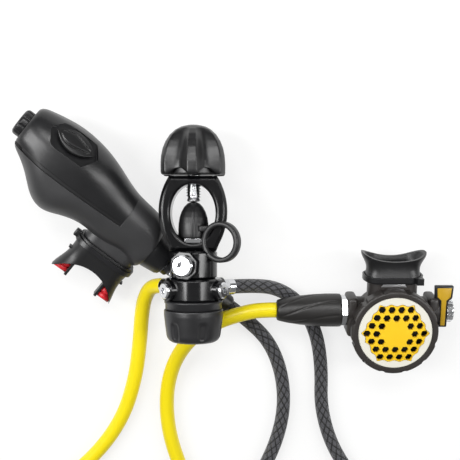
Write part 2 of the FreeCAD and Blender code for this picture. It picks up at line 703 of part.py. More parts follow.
def build_primary_case():
    """The moulded housing in two shells with a gasket between, hollow for the valve and diaphragm."""
    cavity = primary_form(size("primary_wall"))
    hollow = primary_form(0).cut(cavity)
    length = size("primary_length")
    seam = -size("seam_offset")
    half = size("gasket_thickness") / 2
    reach = 3 * length
    start = size("cover_start")
    cover_side = block(start, reach, -reach, seam - half, -length, length)
    band_side = block(start, reach, seam - half, seam + half, -length, length)
    mouth = rounded_ring((size("mouth_along"), 6, 0), (1, 0, 0), (0, 0, 1), size("mouth_tube_half"),
                         size("mouth_tube_rise"), size("mouth_tube_rise") * 0.9)
    stub = Part.Face(mouth).extrude(Vector(0, size("mouth_tube_end") + 2, 0))
    bore_half = size("mouth_tube_half") - size("primary_wall")
    bore_rise = size("mouth_tube_rise") - size("primary_wall")
    bore = rounded_ring((size("mouth_along"), 0, 0), (1, 0, 0), (0, 0, 1), bore_half, bore_rise, bore_rise * 0.9)
    bore = Part.Face(bore).extrude(Vector(0, length, 0))
    case = hollow.cut(cover_side).cut(band_side)
    case = case.fuse(stub.cut(cavity)).cut(bore)
    place, outward, aim = purge_frame()
    side = size("purge_width") * 0.68
    recess = prism(6, size("purge_length") * 0.62, size("purge_recess") * 4)
    recess = recess.common(block(-reach, reach, -side, side, -1, reach))
    recess.Placement = Placement(place, aim)
    floor = block(-size("purge_length") * 0.62, size("purge_length") * 0.62, -side, side, -size("primary_wall"), 0)
    floor.Placement = Placement(place, aim)
    shaft = size("venturi_shaft_radius") + size("fit_gap")
    shaft_way = cylinder(shaft, length, (length * 0.8, -size("end_knob_offset"), 0), (1, 0, 0))
    valve_way = cylinder(size("valve_tube_radius"), length / 2, (-length * 0.1, 0, 0), (1, 0, 0))
    cover = hollow.common(cover_side)
    cover = cover.fuse(floor.common(primary_form(0))).cut(recess).cut(shaft_way).cut(valve_way)
    solid("primary_front_cover", largest(cover), PRIMARY)
    solid("primary_rear_case", largest(case.cut(shaft_way).cut(valve_way)), PRIMARY)
    band = primary_form(size("gasket_recess")).cut(cavity).common(band_side)
    solid("primary_seam_gasket", largest(band.cut(shaft_way)), PRIMARY)
    button = purge_outline(size("purge_length"), size("purge_width"), size("purge_height"), 0)
    crown = Part.makeSphere(3 * size("purge_width"),
                            Vector(0, 0, size("purge_height") - 3 * size("purge_width")))
    place = place + outward * size("purge_rise")
    solid("primary_purge_button", button.common(crown), PRIMARY.multiply(Placement(place, aim)))


def largest(shape):
    """The main solid of a cut, without slivers."""
    return max(shape.Solids, key=lambda item: item.Volume)


def build_primary_inside():
    length = size("primary_length")
    middle = PRIMARY_STATIONS[4][1]
    disc = cylinder(size("diaphragm_radius"), size("diaphragm_wall"), (length * 0.6, middle - 8, 0), (0, -1, 0))
    solid("primary_diaphragm", disc, PRIMARY)
    tube = cylinder(size("valve_tube_radius"), length * 0.48, (0, 0, 0), (1, 0, 0))
    bore = cylinder(size("valve_tube_radius") * 0.5, length, (-length * 0.1, 0, 0), (1, 0, 0))
    solid("primary_valve_tube", tube.cut(bore), PRIMARY)
    width = size("demand_lever_width")
    root = length * 0.47
    gap = size("valve_tube_radius") + size("fit_gap")
    arm = block(root, root + size("demand_lever_length"), -gap - 2, -gap, -width / 2, width / 2)
    toe = block(root + size("demand_lever_length") - 2, root + size("demand_lever_length"),
                middle - 8 + size("fit_gap") * 2, -gap, -width / 2, width / 2)
    pin = cylinder(1, width + 2, (root + 1, -gap - 1, -width / 2 - 1))
    solid("primary_demand_lever", arm.fuse(toe).fuse(pin), PRIMARY)


def build_primary_neck():
    turned("primary_neck_sleeve", [
        ("0", "0"), ("primary_neck_radius - 0.5", "0"), ("primary_neck_radius - 0.6", "neck_sleeve_length * 0.2"),
        ("neck_sleeve_radius", "neck_sleeve_length"), ("0", "neck_sleeve_length"),
    ], along(PRIMARY, 0, 0, 0, (-1, 0, 0)))
    start = size("neck_sleeve_length")
    turned("primary_swivel_ring", [
        ("0", "0"), ("neck_sleeve_radius - 0.6", "0"), ("neck_sleeve_radius - 0.8", "1.5"),
        ("swivel_radius", "3"), ("swivel_radius", "swivel_length - 1"), ("swivel_radius - 1", "swivel_length"),
        ("0", "swivel_length"),
    ], along(PRIMARY, -start, 0, 0, (-1, 0, 0)))
    start += size("swivel_length")
    nut = prism(6, size("inlet_nut_radius"), size("inlet_nut_length"))
    solid("primary_inlet_nut", nut, along(PRIMARY, -start, 0, 0, (-1, 0, 0)))
    start += size("inlet_nut_length")
    turned("primary_hose_protector", protector_profile("primary_protector_length", "protector_root_radius",
                                                       "protector_tip_radius"),
           along(PRIMARY, -start, 0, 0, (-1, 0, 0)))


def protector_profile(length, root, tip):
    """A rubber sleeve that tapers from a rounded shoulder to the hose."""
    return [
        ("0", "0"), (f"{root} - 2.5", "0"), (f"{root} - 0.7", "0.8"), (root, "3"),
        (f"{root} * 0.94 + {tip} * 0.06", f"{length} * 0.3"),
        (f"{root} * 0.7 + {tip} * 0.3", f"{length} * 0.6"),
        (f"{root} * 0.32 + {tip} * 0.68", f"{length} * 0.85"),
        (tip, f"{length} - 1.5"), (f"{tip} - 1", length), ("0", length),
    ]


def build_end_knob():
    start = size("primary_length") + size("fit_gap")
    head = cylinder(size("end_knob_radius"), size("end_knob_length"), (0, 0, 0))
    head = head.makeFillet(size("end_knob_length") * 0.45, [head.Edges[0]])
    for i in range(10):
        turn = math.tau * i / 10
        place = (math.cos(turn) * (size("end_knob_radius") + 1.0), math.sin(turn) * (size("end_knob_radius") + 1.0), -1)
        head = head.cut(cylinder(1.8, 2 * size("end_knob_length"), place))
    shaft = cylinder(size("venturi_shaft_radius"), size("primary_length") * 0.08, (0, 0, 0), (0, 0, -1))
    solid("primary_end_knob", head.fuse(shaft), along(PRIMARY, start, -size("end_knob_offset"), 0, (1, 0, 0)))


def mouthpiece_shape(root, end, tube_half, tube_rise, lip_half, lip_rise, wall, hollow):
    """A rubber mouthpiece along +Y: a socket over the tube, a waist and a lip hollowed to the teeth."""
    reach = end - root
    stations = (
        (0.0, tube_half + wall, tube_rise + wall),
        (0.25, tube_half + wall * 0.7, tube_rise + wall * 0.8),
        (0.5, tube_half + wall * 0.6, tube_rise + wall * 0.1),
        (0.75, lip_half * 0.93, lip_rise * 0.9),
        (1.0, lip_half, lip_rise),
    )
    outer = []
    inner = []
    for share, across, up in stations:
        outer.append(rounded_ring((0, root + share * reach, 0), (1, 0, 0), (0, 0, 1), across, up, up * 0.9))
        inner.append(rounded_ring((0, root + share * reach * 1.02 - 0.1, 0), (1, 0, 0), (0, 0, 1),
                                  across - wall, up - wall, (up - wall) * 0.9))
    bend = (lip_half * lip_half + hollow * hollow) / (2 * hollow)
    bite = cylinder(bend, 4 * lip_rise, (0, end - hollow + bend, -2 * lip_rise))
    return Part.makeLoft(outer, True, False).cut(Part.makeLoft(inner, True, False)).cut(bite)


def build_primary_mouthpiece():
    root = size("mouth_tube_end")
    place = along(PRIMARY, size("mouth_along"), 0, 0)
    wall = size("mouthpiece_wall")
    end = size("mouthpiece_end")
    piece = mouthpiece_shape(root, end, size("mouth_tube_half"), size("mouth_tube_rise"),
                             size("mouthpiece_half"), size("mouthpiece_rise"), wall, size("lip_hollow"))
    tube = rounded_ring((0, root - 1, 0), (1, 0, 0), (0, 0, 1), size("mouth_tube_half"),
                        size("mouth_tube_rise"), size("mouth_tube_rise") * 0.9)
    piece = piece.cut(Part.Face(tube).extrude(Vector(0, 9.0, 0)))
    rib = size("bite_rib_radius")
    depth = size("bite_rib_pitch") * (size("bite_ribs") - 1) + 2 * rib
    inner_end = size("mouthpiece_half") - wall * 0.6 - size("bite_pad_width")
    tab_wall = size("bite_tab_wall")
    for side in (-1, 1):
        low, high = sorted((side * (inner_end - tab_wall), side * inner_end))
        tab = block(low, high, end - depth, end + 0.5, -rib * 1.5, rib * 1.5)
        low, high = sorted((side * (inner_end - tab_wall), side * (size("mouthpiece_half") - wall * 0.8)))
        web = block(low, high, end - depth - 1.5, end - depth, -rib, rib)
        piece = piece.fuse(tab).fuse(web)
    solid("primary_mouthpiece", largest(piece), place)
    build_tie_strap("primary_tie_strap", root + 2, size("mouth_tube_half") + wall,
                    size("mouth_tube_rise") + wall, place, piece)
    bars = []
    for side in (-1, 1):
        for i in range(int(size("bite_ribs"))):
            level = end - rib - i * size("bite_rib_pitch")
            bar = cylinder(rib, size("bite_pad_width"), (side * inner_end, level, 0), (side, 0, 0))
            bars.append(bar.cut(piece))
    pads = bars[0].fuse(bars[1:])
    solid("primary_bite_pads", Part.makeCompound(pads.Solids), place)


def build_tie_strap(label, root, half_across, half_up, place, piece):
    """A cable tie round the mouthpiece with its lock block."""
    wall = size("tie_wall")
    width = size("tie_width")
    gap = 0.05
    outer = rounded_ring((0, root, 0), (1, 0, 0), (0, 0, 1), half_across + wall, half_up + wall,
                         (half_up + wall) * 0.9)
    inner = rounded_ring((0, root, 0), (1, 0, 0), (0, 0, 1), half_across + gap, half_up + gap, (half_up + gap) * 0.9)
    strap = Part.Face(outer).extrude(Vector(0, width, 0)).cut(Part.Face(inner).extrude(Vector(0, width, 0)))
    lock = block(half_across - 6, half_across - 1, root - 0.5, root + width + 0.5, half_up + wall * 0.3,
                 half_up + wall + 3)
    solid(label, largest(strap.fuse(lock).cut(piece)), place)


# Octopus second stage


def build_octopus_housing():
    """The round case: a bowl, a cross tube for the valve and a flattened tube for the mouthpiece."""
    outer = [
        Vector(0, 0, 0.1), Vector(size("case_floor_radius"), 0, 0.1), Vector(size("case_radius") * 0.9, 0, 9),
        Vector(size("case_radius"), 0, size("case_height") * 0.5), Vector(size("case_radius"), 0, size("case_height")),
        Vector(0, 0, size("case_height")), Vector(0, 0, 0.1),
    ]
    bowl = Part.Face(Part.makePolygon(outer)).revolve(Vector(0, 0, 0), Vector(0, 0, 1), 360)
    tube = cylinder(size("cross_tube_radius"), 2 * size("cross_tube_half"),
                    (-size("cross_tube_half"), size("cross_tube_offset"), size("cross_tube_height")), (1, 0, 0))
    mouth = rounded_ring((0, 0, size("cross_tube_height")), (1, 0, 0), (0, 0, 1), size("octopus_mouth_half"),
                         size("octopus_mouth_rise"), size("octopus_mouth_rise") * 0.9)
    stub = Part.Face(mouth).extrude(Vector(0, size("octopus_mouth_end"), 0))
    wall = size("case_wall")
    cavity = cylinder(size("case_radius") - wall, size("case_height"), (0, 0, 9 + wall))
    bore = rounded_ring((0, 0, size("cross_tube_height")), (1, 0, 0), (0, 0, 1), size("octopus_mouth_half") - wall,
                        size("octopus_mouth_rise") - wall, (size("octopus_mouth_rise") - wall) * 0.9)
    bore = Part.Face(bore).extrude(Vector(0, 2 * size("octopus_mouth_end"), 0))
    way = cylinder(size("valve_tube_radius") + size("fit_gap"), 4 * size("cross_tube_half"),
                   (-2 * size("cross_tube_half"), size("cross_tube_offset"), size("cross_tube_height")), (1, 0, 0))
    shape = bowl.fuse(tube).fuse(stub).cut(cavity).cut(bore).cut(way)
    seat = cylinder(size("ring_radius") + size("fit_gap"), size("ring_height"), (0, 0, RING_BASE))
    seat = seat.cut(cylinder(size("case_radius"), size("ring_height"), (0, 0, RING_BASE)))
    solid("octopus_housing", shape.removeSplitter().cut(seat), OCTOPUS)


def build_octopus_cover():
    height = RING_BASE
    ring = cylinder(size("ring_radius"), size("ring_height"), (0, 0, height))
    ring = ring.makeFillet(2.2, [edge for edge in ring.Edges if edge.Closed and edge.CenterOfMass.z > height + 1])
    above = 2 * size("case_height")
    ring = ring.cut(cylinder(size("trim_radius") + size("fit_gap"), above, (0, 0, size("case_height"))))
    ring = ring.cut(cylinder(size("case_radius") + 0.05, size("ring_lap"), (0, 0, height)))
    for i in range(int(size("ring_notches"))):
        turn = math.tau * (i + 0.5) / size("ring_notches")
        reach = size("ring_radius") + size("ring_notch_radius") * 0.55
        place = (reach * math.cos(turn), reach * math.sin(turn), 0)
        ring = ring.cut(cylinder(size("ring_notch_radius"), above, place))
    solid("octopus_retaining_ring", largest(ring), OCTOPUS)
    base = height + size("ring_height") - size("trim_height")
    trim = cylinder(size("trim_radius"), size("trim_height"))
    trim = trim.makeChamfer(0.6, [trim.Edges[0]])
    trim = trim.cut(Part.Face(cover_edge(size("fit_gap"))).extrude(Vector(0, 0, 2 * size("trim_height"))))
    solid("octopus_trim_ring", trim, along(OCTOPUS, 0, 0, base))
    solid("octopus_purge_cover", purge_cover_shape(), along(OCTOPUS, 0, 0, base))
    turned("octopus_diaphragm", [
        ("0", "0"), ("case_radius - case_wall - fit_gap", "0"),
        ("case_radius - case_wall - fit_gap", "diaphragm_wall"), ("0", "diaphragm_wall"),
    ], along(OCTOPUS, 0, 0, size("case_height") - 1.5 * size("diaphragm_wall")))


def cover_holes():
    """Centres of the cover's holes: a six-sided grid whose middle is left plain."""
    pitch = size("cover_hole_pitch")
    reach = int(size("cover_reach"))
    for q in range(-reach, reach + 1):
        for r in range(-reach, reach + 1):
            ring = max(abs(q), abs(r), abs(q + r))
            if 2 <= ring <= reach:
                yield ring, Vector(pitch * (q + r * 0.5), pitch * r * math.sqrt(0.75), 0)


def cover_edge(grow):
    """The cover's wavy six-sided edge: out round each hole of the last row, in between them."""
    outer = [spot for ring, spot in cover_holes() if ring == int(size("cover_reach"))]
    outer.sort(key=lambda spot: math.atan2(spot.y, spot.x))
    points = []
    for spot, following in zip(outer, outer[1:] + outer[:1]):
        middle = (spot + following) * 0.5
        points.append(spot + Vector(spot).normalize() * (size("cover_edge") + grow))
        points.append(middle + Vector(middle).normalize() * (size("cover_notch") + grow))
    edge = Part.BSplineCurve()
    edge.interpolate(points, PeriodicFlag=True)
    return Part.Wire(edge.toShape())


def purge_cover_shape():
    """The perforated purge cover: a shallow crown with a wavy edge and rows of hexagon holes."""
    radius = size("trim_radius")
    crown = size("cover_crown")
    wall = size("cover_wall")
    bulge = (radius * radius + crown * crown) / (2 * crown)
    outer = Part.makeSphere(bulge, Vector(0, 0, crown + wall - bulge))
    inner = Part.makeSphere(bulge, Vector(0, 0, crown - bulge))
    plug = Part.Face(cover_edge(0)).extrude(Vector(0, 0, 3 * crown))
    holes = []
    for ring, spot in cover_holes():
        base = (spot.x, spot.y, -3 * crown)
        holes.append(prism(6, size("cover_hole_across") / math.sqrt(3), 9 * crown, base))
    return plug.common(outer).cut(inner).cut(Part.makeCompound(holes))


def build_octopus_inside():
    y = size("cross_tube_offset")
    z = size("cross_tube_height")
    half = size("cross_tube_half")
    tube = cylinder(size("valve_tube_radius"), 2 * half - 1, (-half, y, z), (1, 0, 0))
    tube = tube.cut(cylinder(size("valve_tube_radius") * 0.5, 4 * half, (-half - 1, y, z), (1, 0, 0)))
    solid("octopus_valve_tube", tube, OCTOPUS)
    width = size("demand_lever_width")
    base = z + size("valve_tube_radius") + size("fit_gap")
    arm = block(-width / 2, width / 2, y - size("demand_lever_length"), y, base, base + 1.5)
    pin = cylinder(0.75, width + 2, (-width / 2 - 1, y - 0.75, base + 0.75), (1, 0, 0))
    solid("octopus_demand_lever", arm.fuse(pin), OCTOPUS)


def build_octopus_mouthpiece():
    root = size("octopus_mouth_end") - 8
    place = along(OCTOPUS, 0, 0, size("cross_tube_height"))
    piece = mouthpiece_shape(root, size("octopus_piece_end"), size("octopus_mouth_half"),
                             size("octopus_mouth_rise"), size("octopus_piece_half"), size("octopus_piece_rise"),
                             size("mouthpiece_wall"), size("octopus_lip_hollow"))
    tube = rounded_ring((0, 0, 0), (1, 0, 0), (0, 0, 1), size("octopus_mouth_half"),
                        size("octopus_mouth_rise"), size("octopus_mouth_rise") * 0.9)
    piece = piece.cut(Part.Face(tube).extrude(Vector(0, size("octopus_mouth_end"), 0)))
    solid("octopus_mouthpiece", largest(piece), place)
    build_tie_strap("octopus_tie_strap", root + 1, size("octopus_mouth_half") + size("mouthpiece_wall"),
                    size("octopus_mouth_rise") + size("mouthpiece_wall"), place, piece)


def build_octopus_hose_end():
    y = size("cross_tube_offset")
    z = size("cross_tube_height")
    start = size("cross_tube_half")
    nut = prism(6, size("octopus_nut_radius"), size("octopus_nut_length"))
    solid("octopus_inlet_nut", nut, along(OCTOPUS, -start, y, z, (-1, 0, 0)))
    start += size("octopus_nut_length")
    turned("octopus_hose_protector", protector_profile("octopus_protector_length", "octopus_protector_root",
                                                       "octopus_protector_tip"),
           along(OCTOPUS, -start, y, z, (-1, 0, 0)))


def build_octopus_controls():
    """The venturi paddle and the knurled adjusting knob on the free end of the cross tube."""
    y = size("cross_tube_offset")
    z = size("cross_tube_height")
    start = size("cross_tube_half") + size("fit_gap")
    length = size("venturi_lever_length")
    width = size("venturi_lever_width")
    height = size("venturi_lever_height")
    waist = size("venturi_lever_waist")
    hub = cylinder(size("venturi_hub_radius"), height, (0, 0, 0))
    shaft = size("valve_tube_radius") * 0.5 - size("fit_gap")
    neck = block(-waist / 2, waist / 2, 0, length * 0.75, 0, height)
    head = rounded_ring((0, length * 0.82, 0), (1, 0, 0), (0, 1, 0), width / 2, length * 0.18, 2)
    head = Part.Face(head).extrude(Vector(0, 0, height))
    lever = hub.fuse(neck).fuse(head).cut(cylinder(shaft + size("fit_gap"), 9 * height, (0, 0, -3 * height)))
    aim = Rotation(Vector(0, 0, 1), Vector(0, 1, 0), Vector(1, 0, 0), "ZXY")
    solid("octopus_venturi_lever", lever, OCTOPUS.multiply(Placement(Vector(start, y, z), aim)))
    start += height + size("fit_gap")
    knob = cylinder(size("adjust_knob_radius"), size("adjust_knob_length"))
    knob = knob.makeFillet(1.5, [knob.Edges[0]])
    for i in range(12):
        turn = math.tau * i / 12
        reach = size("adjust_knob_radius") + 0.7
        place = (reach * math.cos(turn), reach * math.sin(turn), -size("adjust_knob_length"))
        knob = knob.cut(cylinder(1.3, 3 * size("adjust_knob_length"), place))
    stem = cylinder(shaft, height + 2 * size("fit_gap") + 6, (0, 0, 0), (0, 0, -1))
    solid("octopus_adjust_knob", knob.fuse(stem), along(OCTOPUS, start, y, z, (1, 0, 0)))


def build_exhaust_cover():
    """The slotted exhaust skirt under the near side of the case."""
    half = size("exhaust_half")
    front = -size("case_radius") - 1.5
    skirt = rounded_ring((0, 0, 0), (1, 0, 0), (0, 1, 0), half, size("exhaust_depth") / 2, 4)
    skirt = Part.Face(skirt).extrude(Vector(0, 0, size("exhaust_height")))
    skirt.translate(Vector(0, front + 3, 4))
    bowl = cylinder(size("case_radius") + 0.05, 99, (0, 0, -9))
    solid("octopus_exhaust_cover", largest(skirt.cut(bowl)), OCTOPUS)


# Hoses


def hose_tube(label, route, radius):
    """A hose along straight runs joined by tangent arcs."""
    shift = Vector(-size("set_shift_left"), size("set_shift_up"), 0)
    points = [Vector(*point) + shift for point in route]
    edges = []
    radii = []
    start = points[0]
    for before, corner, after in zip(points, points[1:], points[2:]):
        back = (before - corner).normalize()
        ahead = (after - corner).normalize()
        turn = math.pi - back.getAngle(ahead)
        shorter = min((before - corner).Length, (after - corner).Length)
        trim = 0.45 * shorter
        bend = trim / math.tan(turn / 2)
        radii.append(bend)
        arc_start = corner + back * trim
        arc_end = corner + ahead * trim
        inward = (back + ahead).normalize()
        centre = corner + inward * math.hypot(bend, trim)
        edges.append(Part.LineSegment(start, arc_start).toShape())
        edges.append(Part.Arc(arc_start, centre - inward * bend, arc_end).toShape())
        start = arc_end
    edges.append(Part.LineSegment(start, points[-1]).toShape())
    path = Part.Wire(edges)
    first = (points[1] - points[0]).normalize()
    section = Part.Wire(Part.makeCircle(radius, points[0], first))
    tube = path.makePipeShell([section], True, True)
    share = tube.Volume / (math.pi * radius * radius * path.Length)
    print(label, "length", round(path.Length, 1), "volume share", round(share, 4),
          "radii", [round(value) for value in radii])
    solid(label, tube, Placement())
    cord_names.append(label)


def build_hoses():
    """Each hose leaves its second stage, makes one open loop on the table and comes back to the turret."""
    back_shift = Vector(size("set_shift_left"), -size("set_shift_up"), 0)
    neck = size("neck_sleeve_length") + size("swivel_length") + size("inlet_nut_length")
    neck += size("primary_protector_length")
    reach = size("port_boss_reach") + size("hose_fitting_length")
    primary_start = PRIMARY.multVec(Vector(-neck, 0, 0)) + back_shift
    primary_end = STAGE.multVec(clock(PRIMARY_PORT) * reach + Vector(0, 0, TURRET_MIDDLE)) + back_shift
    octopus_end = STAGE.multVec(clock(OCTOPUS_PORT) * reach + Vector(0, 0, TURRET_MIDDLE)) + back_shift
    octopus_neck = size("cross_tube_half") + size("octopus_nut_length") + size("octopus_protector_length")
    octopus_start = OCTOPUS.multVec(Vector(-octopus_neck, size("cross_tube_offset"), size("cross_tube_height")))
    octopus_start = octopus_start + back_shift
    print("primary hose ends", primary_start, primary_end)
    print("octopus hose ends", octopus_start, octopus_end)
    route = [tuple(primary_start)] + PRIMARY_ROUTE + [tuple(primary_end)]
    hose_tube("primary_hose", route, size("braided_hose_radius"))
    route = [tuple(octopus_start)] + OCTOPUS_ROUTE + [tuple(octopus_end)]
    hose_tube("octopus_hose", route, size("plain_hose_radius"))


# Points chosen by hand for each hose between its two ends, from the first stage's axis.
PRIMARY_ROUTE = [
    (39.5, -78.4, 6.4),
    (59.0, -98.0, 6.0),
    (70.0, -127.0, 6.0),
    (72.0, -160.0, 6.0),
    (64.0, -194.0, 6.0),
    (48.0, -227.0, 6.0),
    (36.0, -264.0, 6.0),
    (39.0, -303.0, 6.0),
    (62.0, -335.0, 6.0),
    (100.0, -346.0, 6.0),
    (134.0, -330.0, 6.0),
    (152.0, -297.0, 6.0),
    (150.0, -258.0, 6.0),
    (132.0, -223.0, 6.0),
    (112.0, -191.0, 6.0),
    (102.0, -156.0, 6.0),
    (102.0, -122.0, 6.0),
    (97.0, -90.0, 6.0),
    (83.0, -65.0, 6.2),
    (64.0, -51.0, 11.5),
    (44.1, -46.8, 19.3),
]
OCTOPUS_ROUTE = [
    (51.0, -65.3, 24.0),
    (39.0, -66.4, 26.4),
    (15.0, -74.0, 27.6),
    (-6.0, -91.0, 21.0),
    (-20.0, -117.0, 11.0),
    (-26.0, -147.0, 6.4),
    (-24.0, -181.0, 6.4),
    (-13.0, -217.0, 6.4),
    (-2.0, -257.0, 6.4),
    (2.0, -299.0, 6.4),
    (-4.0, -341.0, 6.4),
    (-22.0, -378.0, 6.4),
    (-54.0, -402.0, 6.4),
    (-94.0, -408.0, 6.4),
    (-133.0, -397.0, 6.4),
    (-163.0, -370.0, 6.4),
    (-175.0, -331.0, 6.4),
    (-168.0, -290.0, 6.4),
    (-146.0, -254.0, 6.4),
    (-116.0, -226.0, 6.4),
    (-85.0, -199.0, 6.4),
    (-62.0, -166.0, 6.4),
    (-50.5, -130.0, 6.4),
    (-46.0, -98.0, 6.4),
    (-44.0, -75.0, 6.4),
    (-41.0, -59.5, 8.0),
    (-33.9, -48.1, 13.1),
]

build_end_cap()
build_turret_sleeve()
build_lp_turret()
build_plugs()
build_first_stage_body()
build_first_stage_inside()
yoke_form = build_yoke()
build_inlet()
build_dust_cap()
build_dust_cap_strap(yoke_form)
build_yoke_screw()
build_yoke_knob()
build_hose_fitting("primary_lp_fitting", PRIMARY_PORT)
build_hose_fitting("octopus_lp_fitting", OCTOPUS_PORT)
build_primary_case()
build_primary_inside()
build_primary_neck()
build_end_knob()
build_primary_mouthpiece()
build_octopus_housing()
build_octopus_cover()
build_octopus_inside()
build_octopus_mouthpiece()
build_octopus_hose_end()
build_octopus_controls()
build_exhaust_cover()
build_hoses()
doc.recompute()

for obj in doc.Objects:
    if "Invalid" in obj.State or "Error" in obj.State:
        raise RuntimeError(f"{obj.Name} failed: {obj.State}")
for label, obj in pieces.items():
    if obj.Shape.isNull() or not obj.Shape.isValid() or not obj.Shape.Solids:
        raise RuntimeError(f"{label} has no valid solid")

rigid = FreeCAD.BoundBox()
for label, obj in pieces.items():
    if label not in cord_names:
        rigid.add(obj.Shape.BoundBox)
print("box without hoses", [round(value, 2) for value in (
    rigid.XMin, rigid.XMax, rigid.YMin, rigid.YMax, rigid.ZMin, rigid.ZMax)])

os.makedirs("parts", exist_ok=True)
for label, obj in pieces.items():
    obj.Shape.exportStep(f"parts/{label}.step")
print(len(pieces), "pieces written")
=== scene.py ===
import math

import bmesh
import bpy
from mathutils import Matrix, Vector


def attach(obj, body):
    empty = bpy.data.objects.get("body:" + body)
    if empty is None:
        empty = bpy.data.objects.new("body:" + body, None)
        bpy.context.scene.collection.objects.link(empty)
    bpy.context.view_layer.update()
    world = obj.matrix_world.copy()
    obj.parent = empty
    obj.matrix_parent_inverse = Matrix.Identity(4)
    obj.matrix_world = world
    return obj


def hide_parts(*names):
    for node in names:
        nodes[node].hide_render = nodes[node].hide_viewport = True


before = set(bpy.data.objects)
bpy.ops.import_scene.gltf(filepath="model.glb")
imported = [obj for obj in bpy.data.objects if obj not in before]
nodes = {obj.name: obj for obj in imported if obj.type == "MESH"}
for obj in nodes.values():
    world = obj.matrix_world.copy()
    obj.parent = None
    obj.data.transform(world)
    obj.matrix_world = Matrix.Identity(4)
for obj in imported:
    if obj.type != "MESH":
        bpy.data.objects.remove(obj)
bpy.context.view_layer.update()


# Table, lamps and camera: a pale laminate table top under three large diffused lamps.
# The first stage leans towards its knob, and the camera looks down with the same lean.
def linear(code, alpha=1.0):
    """An sRGB hex colour as the linear values that Blender's sockets take."""
    channels = [int(code[i:i + 2], 16) / 255 for i in (1, 3, 5)]
    return [c / 12.92 if c <= 0.04045 else ((c + 0.055) / 1.055) ** 2.4 for c in channels] + [alpha]


def add_node(tree, kind, inputs=None, **settings):
    """Add a node with its own settings, and values or other nodes' outputs for its inputs."""
    node = tree.nodes.new(kind)
    for name, value in settings.items():
        setattr(node, name, value)
    for name, value in (inputs or {}).items():
        if isinstance(value, bpy.types.NodeSocket):
            tree.links.new(value, node.inputs[name])
        else:
            node.inputs[name].default_value = value
    return node


def start_material(name):
    """A new material with its node tree and its shader."""
    material = bpy.data.materials.new(name)
    material.use_nodes = True
    return material, material.node_tree, material.node_tree.nodes["Principled BSDF"]


TABLE_PALE = "#f4f4f3"
TABLE_GLOW = 0.72
table_mesh = bpy.data.meshes.new("table_top")
table_form = bmesh.new()
bmesh.ops.create_grid(table_form, x_segments=2, y_segments=2, size=4.0)
table_form.to_mesh(table_mesh)
table_form.free()
table_top = bpy.data.objects.new("table_top", table_mesh)
bpy.context.collection.objects.link(table_top)
table_top.location = (0, 0, -0.0004)
# Matt laminate: even and pale, so that only the soft shadow of the set shows on it.
laminate, tree, shader = start_material("matt_laminate")
shader.inputs["Base Color"].default_value = linear(TABLE_PALE)
shader.inputs["Roughness"].default_value = 0.85
rays = add_node(tree, "ShaderNodeLightPath")
seen = add_node(tree, "ShaderNodeMath", {
    0: rays.outputs["Is Camera Ray"], 1: rays.outputs["Is Glossy Ray"]}, operation="MAXIMUM")
seen = add_node(tree, "ShaderNodeMath", {
    0: seen.outputs[0], 1: rays.outputs["Is Transmission Ray"]}, operation="MAXIMUM")
share = add_node(tree, "ShaderNodeMath", {0: seen.outputs[0], 1: TABLE_GLOW}, operation="MULTIPLY")
glow = add_node(tree, "ShaderNodeEmission", {"Color": (1, 1, 1, 1), "Strength": 1.0})
blend = add_node(tree, "ShaderNodeMixShader",
                 {0: share.outputs[0], 1: shader.outputs[0], 2: glow.outputs[0]})
tree.links.new(blend.outputs[0], tree.nodes["Material Output"].inputs["Surface"])
table_mesh.materials.append(laminate)

# A bright studio round the set: pale above, greyer at the horizon, which gives black parts their soft rims.
HORIZON_LIGHT = 0.16
ZENITH_LIGHT = 0.30
studio = bpy.data.worlds.new("studio")
bpy.context.scene.world = studio
studio.use_nodes = True
tree = studio.node_tree
around = add_node(tree, "ShaderNodeTexCoord")
height = add_node(tree, "ShaderNodeSeparateXYZ", {0: around.outputs["Generated"]})
shade = add_node(tree, "ShaderNodeMapRange",
                 {"Value": height.outputs["Z"], "From Min": -0.1, "From Max": 0.9,
                  "To Min": HORIZON_LIGHT, "To Max": ZENITH_LIGHT})
rays = add_node(tree, "ShaderNodeLightPath")
lift = add_node(tree, "ShaderNodeMix",
                {0: rays.outputs["Is Camera Ray"], 2: shade.outputs[0], 3: 1.0})
tree.links.new(lift.outputs[0], tree.nodes["Background"].inputs["Strength"])
tree.nodes["Background"].inputs["Color"].default_value = (1, 1, 1, 1)


def soft_lamp(name, place, target, width, height, watts):
    """A rectangular diffused lamp that faces a point of the set."""
    lamp = bpy.data.lights.new(name, "AREA")
    lamp.shape = "RECTANGLE"
    lamp.size = width
    lamp.size_y = height
    lamp.energy = watts
    holder = bpy.data.objects.new(name, lamp)
    bpy.context.collection.objects.link(holder)
    holder.location = place
    holder.rotation_euler = (Vector(target) - Vector(place)).to_track_quat("-Z", "Y").to_euler()


soft_lamp("left_lamp", (-0.75, 0.25, 0.75), (-0.05, 0, 0.02), 0.30, 0.8, 9.0)
soft_lamp("right_lamp", (0.8, 0.15, 0.7), (0.02, 0, 0.02), 0.22, 0.8, 5.0)
soft_lamp("top_lamp", (0.0, 0.55, 0.8), (0, 0, 0.02), 0.7, 0.25, 4.6)

CAMERA_AIM = Vector((-0.0071, 0.0110, 0.0300))
CAMERA_LEAN = math.radians(13.0)
CAMERA_REACH = 0.560
camera = bpy.data.cameras.new("camera")
camera.sensor_width = 36.0
camera.lens = 58.4
camera_object = bpy.data.objects.new("camera", camera)
bpy.context.collection.objects.link(camera_object)
line_of_sight = Vector((0, -math.sin(CAMERA_LEAN), -math.cos(CAMERA_LEAN)))
camera_object.location = CAMERA_AIM - line_of_sight * CAMERA_REACH
camera_object.rotation_euler = (-CAMERA_LEAN, 0, 0)
bpy.context.scene.camera = camera_object
bpy.context.scene.view_settings.view_transform = "Standard"


